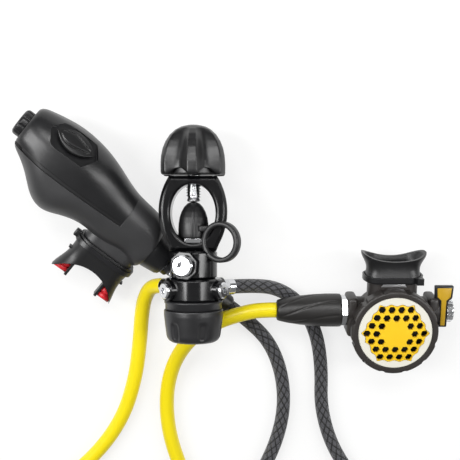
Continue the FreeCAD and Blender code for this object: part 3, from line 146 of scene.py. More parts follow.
# Low pressure hose of the primary: a rubber tube in a tight sleeve of braided black polyester.
# It leaves the protector under the end cap, makes one open turn on the table and comes back to the turret.
def smooth_route(points):
    """The points of one smooth line through a hose's route, from its spline."""
    curve = bpy.data.curves.new("route", "CURVE")
    curve.dimensions = "3D"
    spline = curve.splines.new("NURBS")
    spline.points.add(len(points) - 1)
    for point, place in zip(spline.points, points):
        point.co = (*place, 1.0)
    spline.order_u = 3
    spline.use_endpoint_u = True
    spline.resolution_u = 24
    holder = bpy.data.objects.new("route", curve)
    bpy.context.collection.objects.link(holder)
    line = bpy.data.meshes.new_from_object(holder)
    places = [vertex.co.copy() for vertex in line.vertices]
    bpy.data.objects.remove(holder)
    return places


def make_object(name, mesh, material, body="root"):
    """Link a finished mesh as a smooth piece of one body, in one finish."""
    piece = bpy.data.objects.new(name, mesh)
    bpy.context.collection.objects.link(piece)
    mesh.materials.append(material)
    for face in mesh.polygons:
        face.use_smooth = True
    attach(piece, body)
    return piece


def hose_tube(name, places, radius, sides, material):
    """A tube swept along a line, with its length and its turn round the middle kept as texture places."""
    form = bmesh.new()
    chart = form.loops.layers.uv.new("hose")
    rings = []
    lengths = [0.0]
    forward = (places[1] - places[0]).normalized()
    side = forward.orthogonal().normalized()
    for i, place in enumerate(places):
        ahead = places[min(i + 1, len(places) - 1)] - places[max(i - 1, 0)]
        ahead.normalize()
        side = (side - ahead * side.dot(ahead)).normalized()
        across = ahead.cross(side)
        if i:
            lengths.append(lengths[-1] + (place - places[i - 1]).length)
        ring = []
        for k in range(sides):
            turn = math.tau * k / sides
            ring.append(form.verts.new(place + (side * math.cos(turn) + across * math.sin(turn)) * radius))
        rings.append(ring)
    for i in range(len(rings) - 1):
        for k in range(sides):
            nearer, further = rings[i], rings[i + 1]
            beside = (k + 1) % sides
            face = form.faces.new((nearer[k], nearer[beside], further[beside], further[k]))
            for loop, along, turn in zip(face.loops, (i, i, i + 1, i + 1), (k, k + 1, k + 1, k)):
                loop[chart].uv = (lengths[along], turn / sides)
    form.faces.new(list(reversed(rings[0])))
    form.faces.new(rings[-1])
    mesh = bpy.data.meshes.new(name)
    form.to_mesh(mesh)
    form.free()
    return make_object(name, mesh, material)


PRIMARY_HOSE_ROUTE = [
    (-0.0083, -0.0558, 0.0084), (0.0054, -0.0674, 0.0064), (0.0249, -0.0869, 0.0060),
    (0.0359, -0.1159, 0.0060), (0.0379, -0.1489, 0.0060), (0.0299, -0.1830, 0.0060),
    (0.0139, -0.2159, 0.0060), (0.0019, -0.2530, 0.0060), (0.0049, -0.2919, 0.0060),
    (0.0279, -0.3240, 0.0060), (0.0659, -0.3349, 0.0060), (0.0999, -0.3190, 0.0060),
    (0.1179, -0.2859, 0.0060), (0.1159, -0.2469, 0.0060), (0.0979, -0.2119, 0.0060),
    (0.0779, -0.1799, 0.0060), (0.0679, -0.1449, 0.0060), (0.0679, -0.1110, 0.0060),
    (0.0629, -0.0790, 0.0060), (0.0489, -0.0540, 0.0062), (0.0299, -0.0399, 0.0115),
    (0.0100, -0.0357, 0.0193), (-0.0053, -0.0337, 0.0287),
]
BRAIDED_RADIUS = 0.0055
BRAID_PITCH = 0.0046
BRAID_STRANDS = 14
FIBRE_SCALE = 2200.0  # fibres about 0.5 mm wide, coarser than the real ones so that they show
# Braided polyester over rubber: flat strands cross at a slant, with a dull sheen on each. The near black
# between them is partly the black rubber showing and partly painted shade in the grooves.
braid, tree, shader = start_material("braided_black_polyester")
chart = add_node(tree, "ShaderNodeUVMap", uv_map="hose")
places = add_node(tree, "ShaderNodeSeparateXYZ", {0: chart.outputs["UV"]})
along = add_node(tree, "ShaderNodeMath", {0: places.outputs["X"], 1: 1 / BRAID_PITCH}, operation="MULTIPLY")
round_it = add_node(tree, "ShaderNodeMath", {0: places.outputs["Y"], 1: float(BRAID_STRANDS)},
                    operation="MULTIPLY")
strands = []
for lean in ("ADD", "SUBTRACT"):
    slant = add_node(tree, "ShaderNodeMath", {0: along.outputs[0], 1: round_it.outputs[0]}, operation=lean)
    wave = add_node(tree, "ShaderNodeMath", {0: slant.outputs[0], 1: 1.0}, operation="PINGPONG")
    strands.append(add_node(tree, "ShaderNodeMapRange", {
        "Value": wave.outputs[0], "From Min": 0.12, "From Max": 0.40, "To Min": 0.0, "To Max": 1.0}))
strands_and_gap_shade = add_node(tree, "ShaderNodeMath", {0: strands[0].outputs[0], 1: strands[1].outputs[0]},
                    operation="MULTIPLY")
fibres = add_node(tree, "ShaderNodeTexNoise",
                  {"Vector": chart.outputs["UV"], "Scale": FIBRE_SCALE, "Detail": 3.0})
weave = add_node(tree, "ShaderNodeMath", {0: fibres.outputs[0], 1: 0.25, 2: strands_and_gap_shade.outputs[0]},
                 operation="MULTIPLY_ADD")
# The strand mask turns the grooves between the strands near black: painted shade over the black rubber
# core.
shade = add_node(tree, "ShaderNodeMix", {
    0: strands_and_gap_shade.outputs[0], 6: linear("#040405"), 7: linear("#47474b")}, data_type="RGBA")
relief = add_node(tree, "ShaderNodeBump", {"Height": weave.outputs[0], "Strength": 1.0, "Distance": 0.0005})
tree.links.new(shade.outputs[2], shader.inputs["Base Color"])
tree.links.new(relief.outputs[0], shader.inputs["Normal"])
shader.inputs["Roughness"].default_value = 0.62
shader.inputs["Sheen Weight"].default_value = 0.25
hose_line = smooth_route(PRIMARY_HOSE_ROUTE)
braided_hose = hose_tube("braided_hose", hose_line, BRAIDED_RADIUS, 28, braid)
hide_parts("primary_hose")


# Low pressure hose of the octopus: smooth bright yellow rubber, so that a diver in need sees it.
# It passes under the end cap, makes one wide turn on the table and comes back to the turret's left port.
OCTOPUS_HOSE_ROUTE = [
    (0.0289, -0.0542, 0.0240), (0.0169, -0.0542, 0.0240), (0.0049, -0.0554, 0.0264),
    (-0.0191, -0.0630, 0.0276), (-0.0401, -0.0800, 0.0210), (-0.0541, -0.1060, 0.0110),
    (-0.0601, -0.1359, 0.0064), (-0.0581, -0.1699, 0.0064), (-0.0471, -0.2059, 0.0064),
    (-0.0361, -0.2460, 0.0064), (-0.0321, -0.2879, 0.0064), (-0.0381, -0.3299, 0.0064),
    (-0.0561, -0.3669, 0.0064), (-0.0881, -0.3909, 0.0064), (-0.1281, -0.3969, 0.0064),
    (-0.1671, -0.3860, 0.0064), (-0.1971, -0.3589, 0.0064), (-0.2091, -0.3200, 0.0064),
    (-0.2021, -0.2789, 0.0064), (-0.1801, -0.2429, 0.0064), (-0.1501, -0.2150, 0.0064),
    (-0.1191, -0.1879, 0.0064), (-0.0961, -0.1549, 0.0064), (-0.0846, -0.1190, 0.0064),
    (-0.0801, -0.0869, 0.0064), (-0.0781, -0.0640, 0.0064), (-0.0751, -0.0485, 0.0080),
    (-0.0680, -0.0370, 0.0131), (-0.0581, -0.0350, 0.0228),
]
YELLOW_RADIUS = 0.0059
# Extruded polyurethane: smooth and slightly glossy, with faint draw lines and handling marks.
yellow_rubber, tree, shader = start_material("extruded_yellow_polyurethane")
chart = add_node(tree, "ShaderNodeUVMap", uv_map="hose")
lines = add_node(tree, "ShaderNodeMapping", {"Vector": chart.outputs["UV"], "Scale": (14.0, 60.0, 1.0)})
draw = add_node(tree, "ShaderNodeTexNoise", {"Vector": lines.outputs[0], "Scale": 1.0, "Detail": 4.0})
shade = add_node(tree, "ShaderNodeMix", {
    0: draw.outputs[0], 6: linear("#e2cc00"), 7: linear("#ecd906")}, data_type="RGBA")
gloss = add_node(tree, "ShaderNodeMapRange", {"Value": draw.outputs[0], "To Min": 0.28, "To Max": 0.46})
relief = add_node(tree, "ShaderNodeBump", {"Height": draw.outputs[0], "Strength": 0.25, "Distance": 0.0002})
tree.links.new(shade.outputs[2], shader.inputs["Base Color"])
tree.links.new(gloss.outputs[0], shader.inputs["Roughness"])
tree.links.new(relief.outputs[0], shader.inputs["Normal"])
hose_line = smooth_route(OCTOPUS_HOSE_ROUTE)
yellow_hose = hose_tube("yellow_hose", hose_line, YELLOW_RADIUS, 28, yellow_rubber)
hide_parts("octopus_hose")


# First stage body, turret and yoke: brass bodies and a forged yoke under a hard, smooth black coating.
# The turret turns on the body and carries the ports; the yoke is held between body and retainer.
PATCH_SCALE = 55.0  # patches of colour and gloss about 18 mm across


def grained(name, dark, light, roughness, grain, depth, edge_radius=0.0004):
    """A moulded or coated skin: a fine grain of a real size, and a colour and gloss that vary slowly."""
    material, tree, shader = start_material(name)
    spot = add_node(tree, "ShaderNodeTexCoord")
    fine = add_node(tree, "ShaderNodeTexNoise",
                    {"Vector": spot.outputs["Object"], "Scale": 1 / grain, "Detail": 3.0, "Roughness": 0.6})
    slow = add_node(tree, "ShaderNodeTexNoise",
                    {"Vector": spot.outputs["Object"], "Scale": PATCH_SCALE, "Detail": 4.0})
    shade = add_node(tree, "ShaderNodeMix", {
        0: slow.outputs[0], 6: linear(dark), 7: linear(light)}, data_type="RGBA")
    gloss = add_node(tree, "ShaderNodeMapRange", {
        "Value": slow.outputs[0], "From Min": 0.3, "From Max": 0.7, "To Min": roughness - 0.04,
        "To Max": roughness + 0.04})
    edge = add_node(tree, "ShaderNodeBevel", {"Radius": edge_radius}, samples=6)
    relief = add_node(tree, "ShaderNodeBump", {
        "Height": fine.outputs[0], "Strength": 1.0, "Distance": depth, "Normal": edge.outputs[0]})
    tree.links.new(shade.outputs[2], shader.inputs["Base Color"])
    tree.links.new(gloss.outputs[0], shader.inputs["Roughness"])
    tree.links.new(relief.outputs[0], shader.inputs["Normal"])
    return material


def finish_nodes(material, *names):
    """Give carried-over pieces their finish."""
    for name in names:
        mesh = nodes[name].data
        mesh.materials.clear()
        mesh.materials.append(material)


# The first stage's own axes in the shared frame, as the source places them.
FIRST_STAGE = Matrix.Translation((-0.0341, -0.06815, 0.0544)) @ Matrix.Rotation(math.radians(-102), 4, "X")
# Brass under a hard black coating: smooth, dark and glossy, with a bright line on each rounded edge.
coated_brass = grained("black_coated_brass", "#060607", "#0e0e10", 0.16, 0.0005, 0.000004, 0.0009)
finish_nodes(coated_brass, "first_stage_body", "lp_turret")
# The forged yoke has the same coating over broadly rounded edges.
coated_forging = grained("black_coated_forging", "#050506", "#0c0c0e", 0.14, 0.0006, 0.000003, 0.0018)
finish_nodes(coated_forging, "yoke")


# End cap and turret sleeve: brass, bead blasted and coated satin black.
# The cap is turned with a rounded foot, and six long shallow flutes are milled in its side for grip.
def lathe(name, place, material, profile, body="root", sides=96, form=None, ring_shaped=False):
    """A piece turned about its Z axis from (radius, height) in mm, which form may change round the turn."""
    shape = bmesh.new()
    rings = []
    for radius, height in profile:
        ring = []
        for k in range(sides):
            turn = math.tau * k / sides
            reach, rise = form(turn, height, radius) if form else (radius, height)
            ring.append(shape.verts.new((reach * math.cos(turn) / 1000, reach * math.sin(turn) / 1000,
                                         rise / 1000)))
        rings.append(ring)
    if ring_shaped:
        rings.append(rings[0])
    for lower, upper in zip(rings, rings[1:]):
        for k in range(sides):
            beside = (k + 1) % sides
            shape.faces.new((lower[k], lower[beside], upper[beside], upper[k]))
    if not ring_shaped:
        shape.faces.new(list(reversed(rings[0])))
        shape.faces.new(rings[-1])
    mesh = bpy.data.meshes.new(name)
    shape.transform(place)
    bmesh.ops.recalc_face_normals(shape, faces=shape.faces)
    shape.to_mesh(mesh)
    shape.free()
    return make_object(name, mesh, material, body)


def rising(points, step):
    """The corners of a profile with more points between them, at most a step apart in mm."""
    filled = [points[0]]
    for (r0, z0), (r1, z1) in zip(points, points[1:]):
        count = max(1, round(math.hypot(r1 - r0, z1 - z0) / step))
        filled += [(r0 + (r1 - r0) * i / count, z0 + (z1 - z0) * i / count) for i in range(1, count + 1)]
    return filled


def smooth_step(low, high, value):
    """A smooth rise from 0 to 1 while the value goes from low to high."""
    share = min(1.0, max(0.0, (value - low) / (high - low)))
    return share * share * (3 - 2 * share)


CAP_RADIUS = 21
CAP_FACE_RADIUS = 16
CAP_FLUTES = 6
CAP_FLUTE_TURN = math.radians(292)
CAP_FLUTE_MIDDLE = 9.0
CAP_FLUTE_HALF_LENGTH = 7.6
CAP_FLUTE_HALF_WIDTH = 4.0
CAP_FLUTE_DEPTH = 1.3


def fluted_cap(turn, height, radius):
    """The cap's radius, less where a long rounded flute is milled."""
    across = (turn - CAP_FLUTE_TURN) % (math.tau / CAP_FLUTES)
    across = min(across, math.tau / CAP_FLUTES - across) * CAP_RADIUS / CAP_FLUTE_HALF_WIDTH
    along = abs(height - CAP_FLUTE_MIDDLE) / CAP_FLUTE_HALF_LENGTH
    inside = 1 - (across ** 3 + along ** 4) ** (1 / 3)
    depth = CAP_FLUTE_DEPTH * smooth_step(0.0, 0.45, inside)
    return radius - (depth if radius > CAP_FACE_RADIUS else 0), height


CAP_PROFILE = [(0.5, 0.4), (14.5, 0.0), (16.6, 0.4), (18.4, 1.6), (19.5, 3.2), (20.1, 5.2), (21.0, 12),
               (21.9, 20), (21.9, 23.5), (21.6, 23.9), (0.5, 24.0)]
# Bead blasted and coated brass: the same black, but its fine pits spread the highlights.
satin_brass = grained("satin_black_brass", "#161617", "#222224", 0.36, 0.0004, 0.000012)
end_cap = lathe("fluted_end_cap", FIRST_STAGE, satin_brass, rising(CAP_PROFILE, 0.8), sides=180,
                form=fluted_cap)
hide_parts("end_cap")
SLEEVE_PROFILE = [(12, 24.05), (20.4, 24.1), (20.9, 24.5), (21.0, 28.6), (21.6, 29.2), (21.6, 30.2),
                  (21.0, 30.7), (12, 30.9)]
sleeve = lathe("turned_turret_sleeve", FIRST_STAGE, satin_brass, SLEEVE_PROFILE, sides=120)
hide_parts("turret_sleeve")


# Hand knob of the yoke: a dome of hard rubber moulded over nylon, with six wide scoops for the fingers.
# The scoops run out at the hem in low arches, and narrow ridges stay between them.
KNOB_BASE = 0.123
KNOB_HUB_RADIUS = 18.5
KNOB_HUB_HEIGHT = 12
KNOB_SCOOPS = 6
SCOOP_HALF = math.radians(22.5)
SCOOP_FLOOR = 19.6
SCOOP_DRAFT = 7.0
SCOOP_HEIGHT = 34
HEM_ARCH = 4.6
HEM_FADE = 13


def scooped(turn, height, radius):
    """The knob's radius inside a scoop, and its hem raised there; the hub stays round."""
    pitch = math.tau / KNOB_SCOOPS
    across = (turn + pitch / 2) % pitch - pitch / 2
    share = min(1.0, abs(across) / SCOOP_HALF) ** 2
    if radius < KNOB_HUB_RADIUS and height < KNOB_HUB_HEIGHT:
        return radius, height
    floor = SCOOP_FLOOR - SCOOP_DRAFT * (height / SCOOP_HEIGHT) ** 2
    deep = min(radius, floor + (radius - floor) * share)
    return deep, height + max(0.0, HEM_ARCH * (1 - share) * (1 - height / HEM_FADE))


KNOB_PROFILE = [(5.9, 0.4), (18.0, 0.4), (18.2, 7.5), (19.0, 7.5), (19.2, 0.4), (20.0, 0.0), (24.0, 0.0),
                (25.0, 0.8), (25.4, 2.4), (25.4, 9), (25.0, 14), (23.8, 19.5), (21.6, 24.6), (18.4, 29.4),
                (14.2, 33.2), (9.4, 35.8), (4.6, 37.0), (0.02, 37.2), (0.02, 30.0), (5.9, 30.0)]
# Moulded hard rubber: dark and dull, with broad soft highlights on the lobes.
hard_rubber = grained("moulded_hard_rubber", "#0e0e0f", "#1a1a1b", 0.33, 0.0005, 0.000015, 0.0006)
knob = lathe("domed_yoke_knob", FIRST_STAGE @ Matrix.Translation((0, 0, KNOB_BASE)), hard_rubber,
             rising(KNOB_PROFILE, 0.9), "knob", sides=240, form=scooped, ring_shaped=True)
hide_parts("yoke_knob")


# Port plugs, hose fittings, retainer, valve tubes and nuts: chromed brass, turned and polished.
# Chrome plate: near white and mirror-like, with faint smears and polishing lines.
chrome, tree, shader = start_material("polished_chrome_plate")
spot = add_node(tree, "ShaderNodeTexCoord")
SMEAR_SCALE = 260.0  # smears about 4 mm long
smear = add_node(tree, "ShaderNodeTexNoise",
                 {"Vector": spot.outputs["Object"], "Scale": SMEAR_SCALE, "Detail": 5.0})
gloss = add_node(tree, "ShaderNodeMapRange", {"Value": smear.outputs[0], "To Min": 0.05, "To Max": 0.22})
edge = add_node(tree, "ShaderNodeBevel", {"Radius": 0.0005}, samples=6)
shader.inputs["Base Color"].default_value = linear("#dadbdd")
shader.inputs["Metallic"].default_value = 1.0
tree.links.new(gloss.outputs[0], shader.inputs["Roughness"])
tree.links.new(edge.outputs[0], shader.inputs["Normal"])
finish_nodes(chrome, "high_pressure_plug", "lp_port_plugs", "yoke_retainer", "primary_lp_fitting",
             "octopus_lp_fitting", "primary_inlet_nut", "octopus_inlet_nut", "primary_valve_tube",
             "octopus_valve_tube", "octopus_adjust_knob")


# Yoke screw: turned and chromed brass with a coarse rolled thread.
# The hand knob sits on its end and drives it down on the tank valve.
THREAD_PITCH = 2.0
THREAD_DEPTH = 0.8
THREAD_CORE = 5


def threaded(turn, height, radius):
    """The screw's radius at a turn and height of its right-hand thread."""
    wave = (height / THREAD_PITCH - turn / math.tau) % 1.0
    ridge = smooth_step(0.08, 0.4, wave) - smooth_step(0.6, 0.92, wave)
    return radius - (THREAD_DEPTH * (1 - ridge) if radius > THREAD_CORE else 0), height


SCREW_PROFILE = [(0.4, 106.0), (4.2, 106.05), (5.3, 107.0)]
SCREW_PROFILE += [(5.3, 107.0 + 0.2 * i) for i in range(1, 111)] + [(5.3, 152.6), (0.4, 152.7)]
yoke_screw = lathe("threaded_yoke_screw", FIRST_STAGE, chrome, SCREW_PROFILE, body="screw", sides=48,
                   form=threaded)
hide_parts("yoke_screw")


# Screw foot, inlet filter, valve parts and demand levers: small pieces of stainless steel.
# They are turned or pressed and left satin, a soft grey-white in the shade of the cases.
steel = grained("satin_stainless_steel", "#b9b9bb", "#cfd0d2", 0.3, 0.0003, 0.000005)
steel.node_tree.nodes["Principled BSDF"].inputs["Metallic"].default_value = 1.0
finish_nodes(steel, "screw_foot", "inlet_filter", "valve_poppet", "valve_seat", "primary_demand_lever",
             "octopus_demand_lever")


# Dust cap and its strap: one soft rubber moulding, a bullet that covers the inlet and a flat loop.
# The loop goes round the yoke's arm, so that the cap stays with the set when it is off.
# Moulded rubber: black and dull, with a broad sheen along its curves.
black_rubber = grained("moulded_black_rubber", "#101011", "#1b1b1c", 0.40, 0.0006, 0.00002, 0.0007)
finish_nodes(black_rubber, "primary_mouthpiece", "octopus_mouthpiece", "primary_seam_gasket",
             "primary_hose_protector")
# Moulded silicone: the clear one is a milky grey, the black one dull and even.
clear_silicone = grained("clear_silicone", "#8c8c86", "#a5a59d", 0.4, 0.0006, 0.00001)
finish_nodes(clear_silicone, "main_diaphragm", "primary_diaphragm")
dark_silicone = grained("dark_silicone", "#0c0c0c", "#151515", 0.5, 0.0006, 0.00001)
finish_nodes(dark_silicone, "octopus_diaphragm")
CAP_BASE = 0.0765
EGG_PROFILE = [(0.5, 0.0), (10.3, 0.0), (10.9, 0.6), (11.2, 3), (11.25, 7), (11.0, 11), (10.3, 15.5),
               (9.0, 19.5), (7.0, 23.2), (4.6, 25.7), (2.2, 26.8), (0.5, 27.0)]
RIDGE_TURN = math.radians(268)
RIDGE_HEIGHT = 0.45


def ridged(turn, height, radius):
    """The cap's radius, with one low ridge up its front."""
    across = abs(turn - RIDGE_TURN) * radius
    return radius + RIDGE_HEIGHT * smooth_step(1.7, 0.9, across) * smooth_step(25, 20, height), height


bullet = lathe("moulded_dust_cap", FIRST_STAGE @ Matrix.Translation((0, 0, CAP_BASE)), black_rubber,
               rising(EGG_PROFILE, 0.8), "cap", sides=160, form=ridged)
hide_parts("dust_cap")


def rounded_block(name, place, size, corner, material):
    """A moulded block in mm with rounded edges."""
    shape = bmesh.new()
    bmesh.ops.create_cube(shape, size=1.0)
    for vert in shape.verts:
        vert.co = Vector([vert.co[axis] * size[axis] / 1000 for axis in range(3)])
    bmesh.ops.bevel(shape, geom=list(shape.edges), offset=corner / 1000, segments=3, affect="EDGES",
                    profile=0.5)
    shape.transform(place)
    mesh = bpy.data.meshes.new(name)
    shape.to_mesh(mesh)
    shape.free()
    return make_object(name, mesh, material)


STRAP_TURN = math.radians(28)
STRAP_AXIS = Vector((-math.sin(STRAP_TURN), -math.cos(STRAP_TURN), 0))
STRAP_FRAME = (FIRST_STAGE @ Matrix.Translation((0.0206, -0.01535, 0.07425))
               @ STRAP_AXIS.to_track_quat("Z", "Y").to_matrix().to_4x4())
STRAP_PROFILE = [(11.3, -2.6), (12.0, -3.2), (14.2, -3.2), (14.9, -2.6), (14.9, 2.6), (14.2, 3.2),
                 (12.0, 3.2), (11.3, 2.6)]
strap = lathe("moulded_strap_loop", STRAP_FRAME, black_rubber, STRAP_PROFILE, ring_shaped=True)
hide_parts("dust_cap_strap")
ARM_FRAME = FIRST_STAGE @ Matrix.Translation((0.0088, -0.0107, 0.0838))
ARM_SIZE = (8.5, 2.8, 4.4)
strap_arm = rounded_block("strap_arm", ARM_FRAME, ARM_SIZE, 0.9, black_rubber)


# Primary second stage: two moulded shells of glass-filled nylon that close on a rubber gasket.
# The cover is black with a fine grain, the rear case a shade greyer, and a soft light runs along both.
# PRIMARY holds its own axes in the shared frame, as the source places them.
PRIMARY = (Matrix.Translation((-0.0684, -0.00535, 0.01725)) @ Matrix.Rotation(math.radians(140), 4, "Z")
           @ Matrix.Rotation(math.radians(-6.4), 4, "Y"))
black_nylon = grained("spark_eroded_black_nylon", "#0f0f10", "#18181a", 0.35, 0.00045, 0.00002, 0.0006)
finish_nodes(black_nylon, "primary_front_cover", "primary_end_knob", "primary_neck_sleeve",
             "primary_swivel_ring", "primary_tie_strap", "octopus_tie_strap")
grey_nylon = grained("spark_eroded_grey_nylon", "#2b2b2c", "#363637", 0.42, 0.00045, 0.00002, 0.0006)
finish_nodes(grey_nylon, "primary_rear_case")
# The gasket shows as one line all along the seam, and its upper run mirrors the lower one.
upper_gasket_mesh = nodes["primary_seam_gasket"].data.copy()
flip = PRIMARY @ Matrix.Diagonal((1, 1, -1, 1)) @ PRIMARY.inverted()
upper_gasket_mesh.transform(nodes["primary_seam_gasket"].matrix_world.inverted() @ flip
                            @ nodes["primary_seam_gasket"].matrix_world)
upper_gasket_mesh.flip_normals()
upper_gasket = bpy.data.objects.new("upper_seam_gasket", upper_gasket_mesh)
upper_gasket.matrix_world = nodes["primary_seam_gasket"].matrix_world
bpy.context.collection.objects.link(upper_gasket)
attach(upper_gasket, "root")


# Purge button: a pointed oval of soft elastomer that fills the recess in the primary's cover.
# It is pressed with a thumb, and two curved grooves in its crown keep the thumb from slipping.
SHEET_RIM_LEVEL = -0.0002


def grid_sheet(name, place, material, across, along, spot_of, body="root"):
    """A shell from a grid of places in mm, with its rim drawn down to one level and no underside."""
    shape = bmesh.new()
    grid = [[shape.verts.new(Vector(spot_of(i / across, j / along)) / 1000) for j in range(along + 1)]
            for i in range(across + 1)]
    for i in range(across):
        for j in range(along):
            shape.faces.new((grid[i][j], grid[i + 1][j], grid[i + 1][j + 1], grid[i][j + 1]))
    bmesh.ops.remove_doubles(shape, verts=shape.verts, dist=0.000001)
    rim = [edge for edge in shape.edges if edge.is_boundary]
    extra = bmesh.ops.extrude_edge_only(shape, edges=rim)["geom"]
    for item in extra:
        if isinstance(item, bmesh.types.BMVert):
            item.co.z = SHEET_RIM_LEVEL
    bmesh.ops.recalc_face_normals(shape, faces=shape.faces)
    mesh = bpy.data.meshes.new(name)
    shape.transform(place)
    shape.to_mesh(mesh)
    shape.free()
    return make_object(name, mesh, material, body)


BUTTON_HALF_LENGTH = 15.7
BUTTON_HALF_WIDTH = 8.3
BUTTON_CROWN = 2.9
BUTTON_GROOVE = 0.9
PURGE_LEAN = math.radians(42)
PURGE_FRAME = PRIMARY @ Matrix.Translation((0.093, -0.03222, 0.01812)) @ Matrix.Rotation(PURGE_LEAN, 4, "X")


def purge_top(u, v):
    """A place on the button's top: a pointed oval with a low crown and two crescent grooves."""
    x = BUTTON_HALF_LENGTH * (2 * u - 1)
    y = BUTTON_HALF_WIDTH * (1 - (x / BUTTON_HALF_LENGTH) ** 2) * (2 * v - 1)
    crown = BUTTON_CROWN - 1.1 * (y / BUTTON_HALF_WIDTH) ** 2 - 1.0 * (x / BUTTON_HALF_LENGTH) ** 2
    groove = 0.0
    for side in (-1, 1):
        middle = side * (4.4 * (1 - (x / 14) ** 2) + 0.9 * math.sin(x / 4))
        groove = max(groove, 1 - smooth_step(0.15, 0.9, abs(y - middle)))
    return x, y, crown - BUTTON_GROOVE * groove * smooth_step(12.5, 9.5, abs(x))


# Soft elastomer: as black as the cover, with a tighter highlight on the rims of its grooves.
soft_elastomer = grained("soft_black_elastomer", "#0d0d0e", "#161617", 0.33, 0.0005, 0.000015)
purge_button = grid_sheet("grooved_purge_button", PURGE_FRAME, soft_elastomer, 64, 40, purge_top,
                          "primary_button")
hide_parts("primary_purge_button")


# Mouthpiece of the primary: soft black silicone with red bite pads moulded on, held by a nylon tie.
# The tie's ratchet head stands at the mouthpiece's outer end.
# Red silicone: a bright, slightly glossy red that the light rounds off on each rib.
red_silicone = grained("red_silicone", "#c81e27", "#dd333b", 0.38, 0.0006, 0.00002, 0.0007)


def islands_of(shape):
    """The loose parts of a mesh, as lists of corners."""
    left = set(shape.verts)
    parts = []
    while left:
        reached = [left.pop()]
        for vert in reached:
            for edge in vert.link_edges:
                other = edge.other_vert(vert)
                if other in left:
                    left.remove(other)
                    reached.append(other)
        parts.append(reached)
    return parts


# Only the pads inside the lip shield show, so what stands through its outer side is trimmed off.
pads = nodes["primary_bite_pads"]
pads_shape = bmesh.new()
pads_shape.from_mesh(pads.data)
bmesh.ops.remove_doubles(pads_shape, verts=pads_shape.verts, dist=0.000002)
pads_shape.transform(pads.matrix_world)
MOUTH_MIDDLE = 0.024
halves = {-1: [], 1: []}
for part in islands_of(pads_shape):
    middle = sum((PRIMARY.inverted() @ vert.co).x for vert in part) / len(part) - MOUTH_MIDDLE
    halves[1 if middle > 0 else -1].append((abs(middle), part))
for found in halves.values():
    found.sort(key=lambda pair: pair[0])
    for reach, part in found[1:]:
        bmesh.ops.delete(pads_shape, geom=part, context="VERTS")
pads_mesh = bpy.data.meshes.new("ribbed_bite_pads")
pads_shape.to_mesh(pads_mesh)
pads_shape.free()
bite_pads = make_object("ribbed_bite_pads", pads_mesh, red_silicone)
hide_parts("primary_bite_pads")

tie_head = rounded_block("primary_tie_head", PRIMARY @ Matrix.Translation((0.0500, 0.0245, 0.002)),
                         (5.5, 6.0, 5.0), 0.9, black_nylon)


# Hose protectors: rubber boots over the hose ends, which keep the hose from kinking at its fitting.
# The octopus's boot tapers towards the hose, with slanted grooves that sweep round it.
BOOT_LENGTH = 50
BOOT_BORE = 7
BOOT_GROOVES = 7
BOOT_SWEEP = 1.5
BOOT_GROOVE_DEPTH = 0.45


def swept_boot(turn, height, radius):
    """The boot's radius, less where one of its slanted grooves runs."""
    share = height / BOOT_LENGTH
    sweep = (turn / math.tau * BOOT_GROOVES + BOOT_SWEEP * share * share) % 1.0
    depth = BOOT_GROOVE_DEPTH * smooth_step(0.0, 0.12, share) * smooth_step(1.0, 0.85, share)
    groove = 1 - smooth_step(0.0, 0.13, min(sweep, 1 - sweep))
    return radius - (depth * groove if radius > BOOT_BORE else 0), height


# The octopus's own axes in the shared frame, as the source places them.
OCTOPUS = Matrix.Translation((0.1179, -0.06595, 0))
BOOT_FRAME = (OCTOPUS @ Matrix.Translation((-0.039, 0.0117, 0.024))
              @ Matrix.Rotation(math.radians(-90), 4, "Y"))
BOOT_PROFILE = [(6.1, 0.0), (11.9, 0.05), (12.7, 0.8), (12.85, 3), (12.8, 12), (12.3, 22), (11.3, 32),
                (9.9, 41), (8.6, 47), (8.2, 48.6), (7.4, 49.6), (6.1, 50.0)]
# Moulded rubber with a trace of chalk: a warmer, duller black than the hose's.
moulded_boot = grained("moulded_boot_rubber", "#161514", "#211f1e", 0.42, 0.0006, 0.00002)
octopus_boot = lathe("swept_hose_boot", BOOT_FRAME, moulded_boot, rising(BOOT_PROFILE, 0.8), sides=140,
                     form=swept_boot)
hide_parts("octopus_hose_protector")


# Octopus case, cover ring and exhaust cover: nylon mouldings, and the ring screws down on the case.
# Filled nylon: a warm dark grey whose fine matt grain spreads the light.
warm_nylon = grained("warm_grey_nylon", "#24211f", "#312d2b", 0.42, 0.0005, 0.00002, 0.0006)
finish_nodes(warm_nylon, "octopus_housing", "octopus_retaining_ring", "octopus_exhaust_cover")


# Purge cover: yellow ABS with rows of hexagon holes, and the off-white trim ring round its wavy edge.
# Both are moulded and snap in under the cover ring, and a push anywhere on the yellow purges the valve.
# Moulded ABS: clean, even colour with a soft gloss, a little worn to matt.
yellow_abs = grained("moulded_yellow_abs", "#e2b414", "#eec51e", 0.34, 0.0006, 0.00001, 0.0005)
finish_nodes(yellow_abs, "octopus_purge_cover")
white_abs = grained("moulded_white_abs", "#d2d0c4", "#dcdacf", 0.38, 0.0006, 0.00001)
finish_nodes(white_abs, "octopus_trim_ring")


# Venturi lever: a T-shaped lever of black nylon with a mustard inlay, on the end of the cross tube.
# Its hub turns round the tube's end and swings the vane inside.
LEVER_FRAME = OCTOPUS @ Matrix.Translation((0.0353, 0.0117, 0.024))


def flat_plate(name, place, outline, thick, corner, material, body="root"):
    """A moulded plate cut to an outline in mm, with a rounded rim."""
    shape = bmesh.new()
    face = shape.faces.new([shape.verts.new((x / 1000, y / 1000, 0)) for x, y in outline])
    raised = bmesh.ops.extrude_face_region(shape, geom=[face])["geom"]
    for item in raised:
        if isinstance(item, bmesh.types.BMVert):
            item.co.z += thick / 1000
    bmesh.ops.recalc_face_normals(shape, faces=shape.faces)
    bmesh.ops.bevel(shape, geom=list(shape.edges), offset=corner / 1000, segments=2, affect="EDGES",
                    profile=0.5)
    shape.transform(place)
    mesh = bpy.data.meshes.new(name)
    shape.to_mesh(mesh)
    shape.free()
    return make_object(name, mesh, material, body)


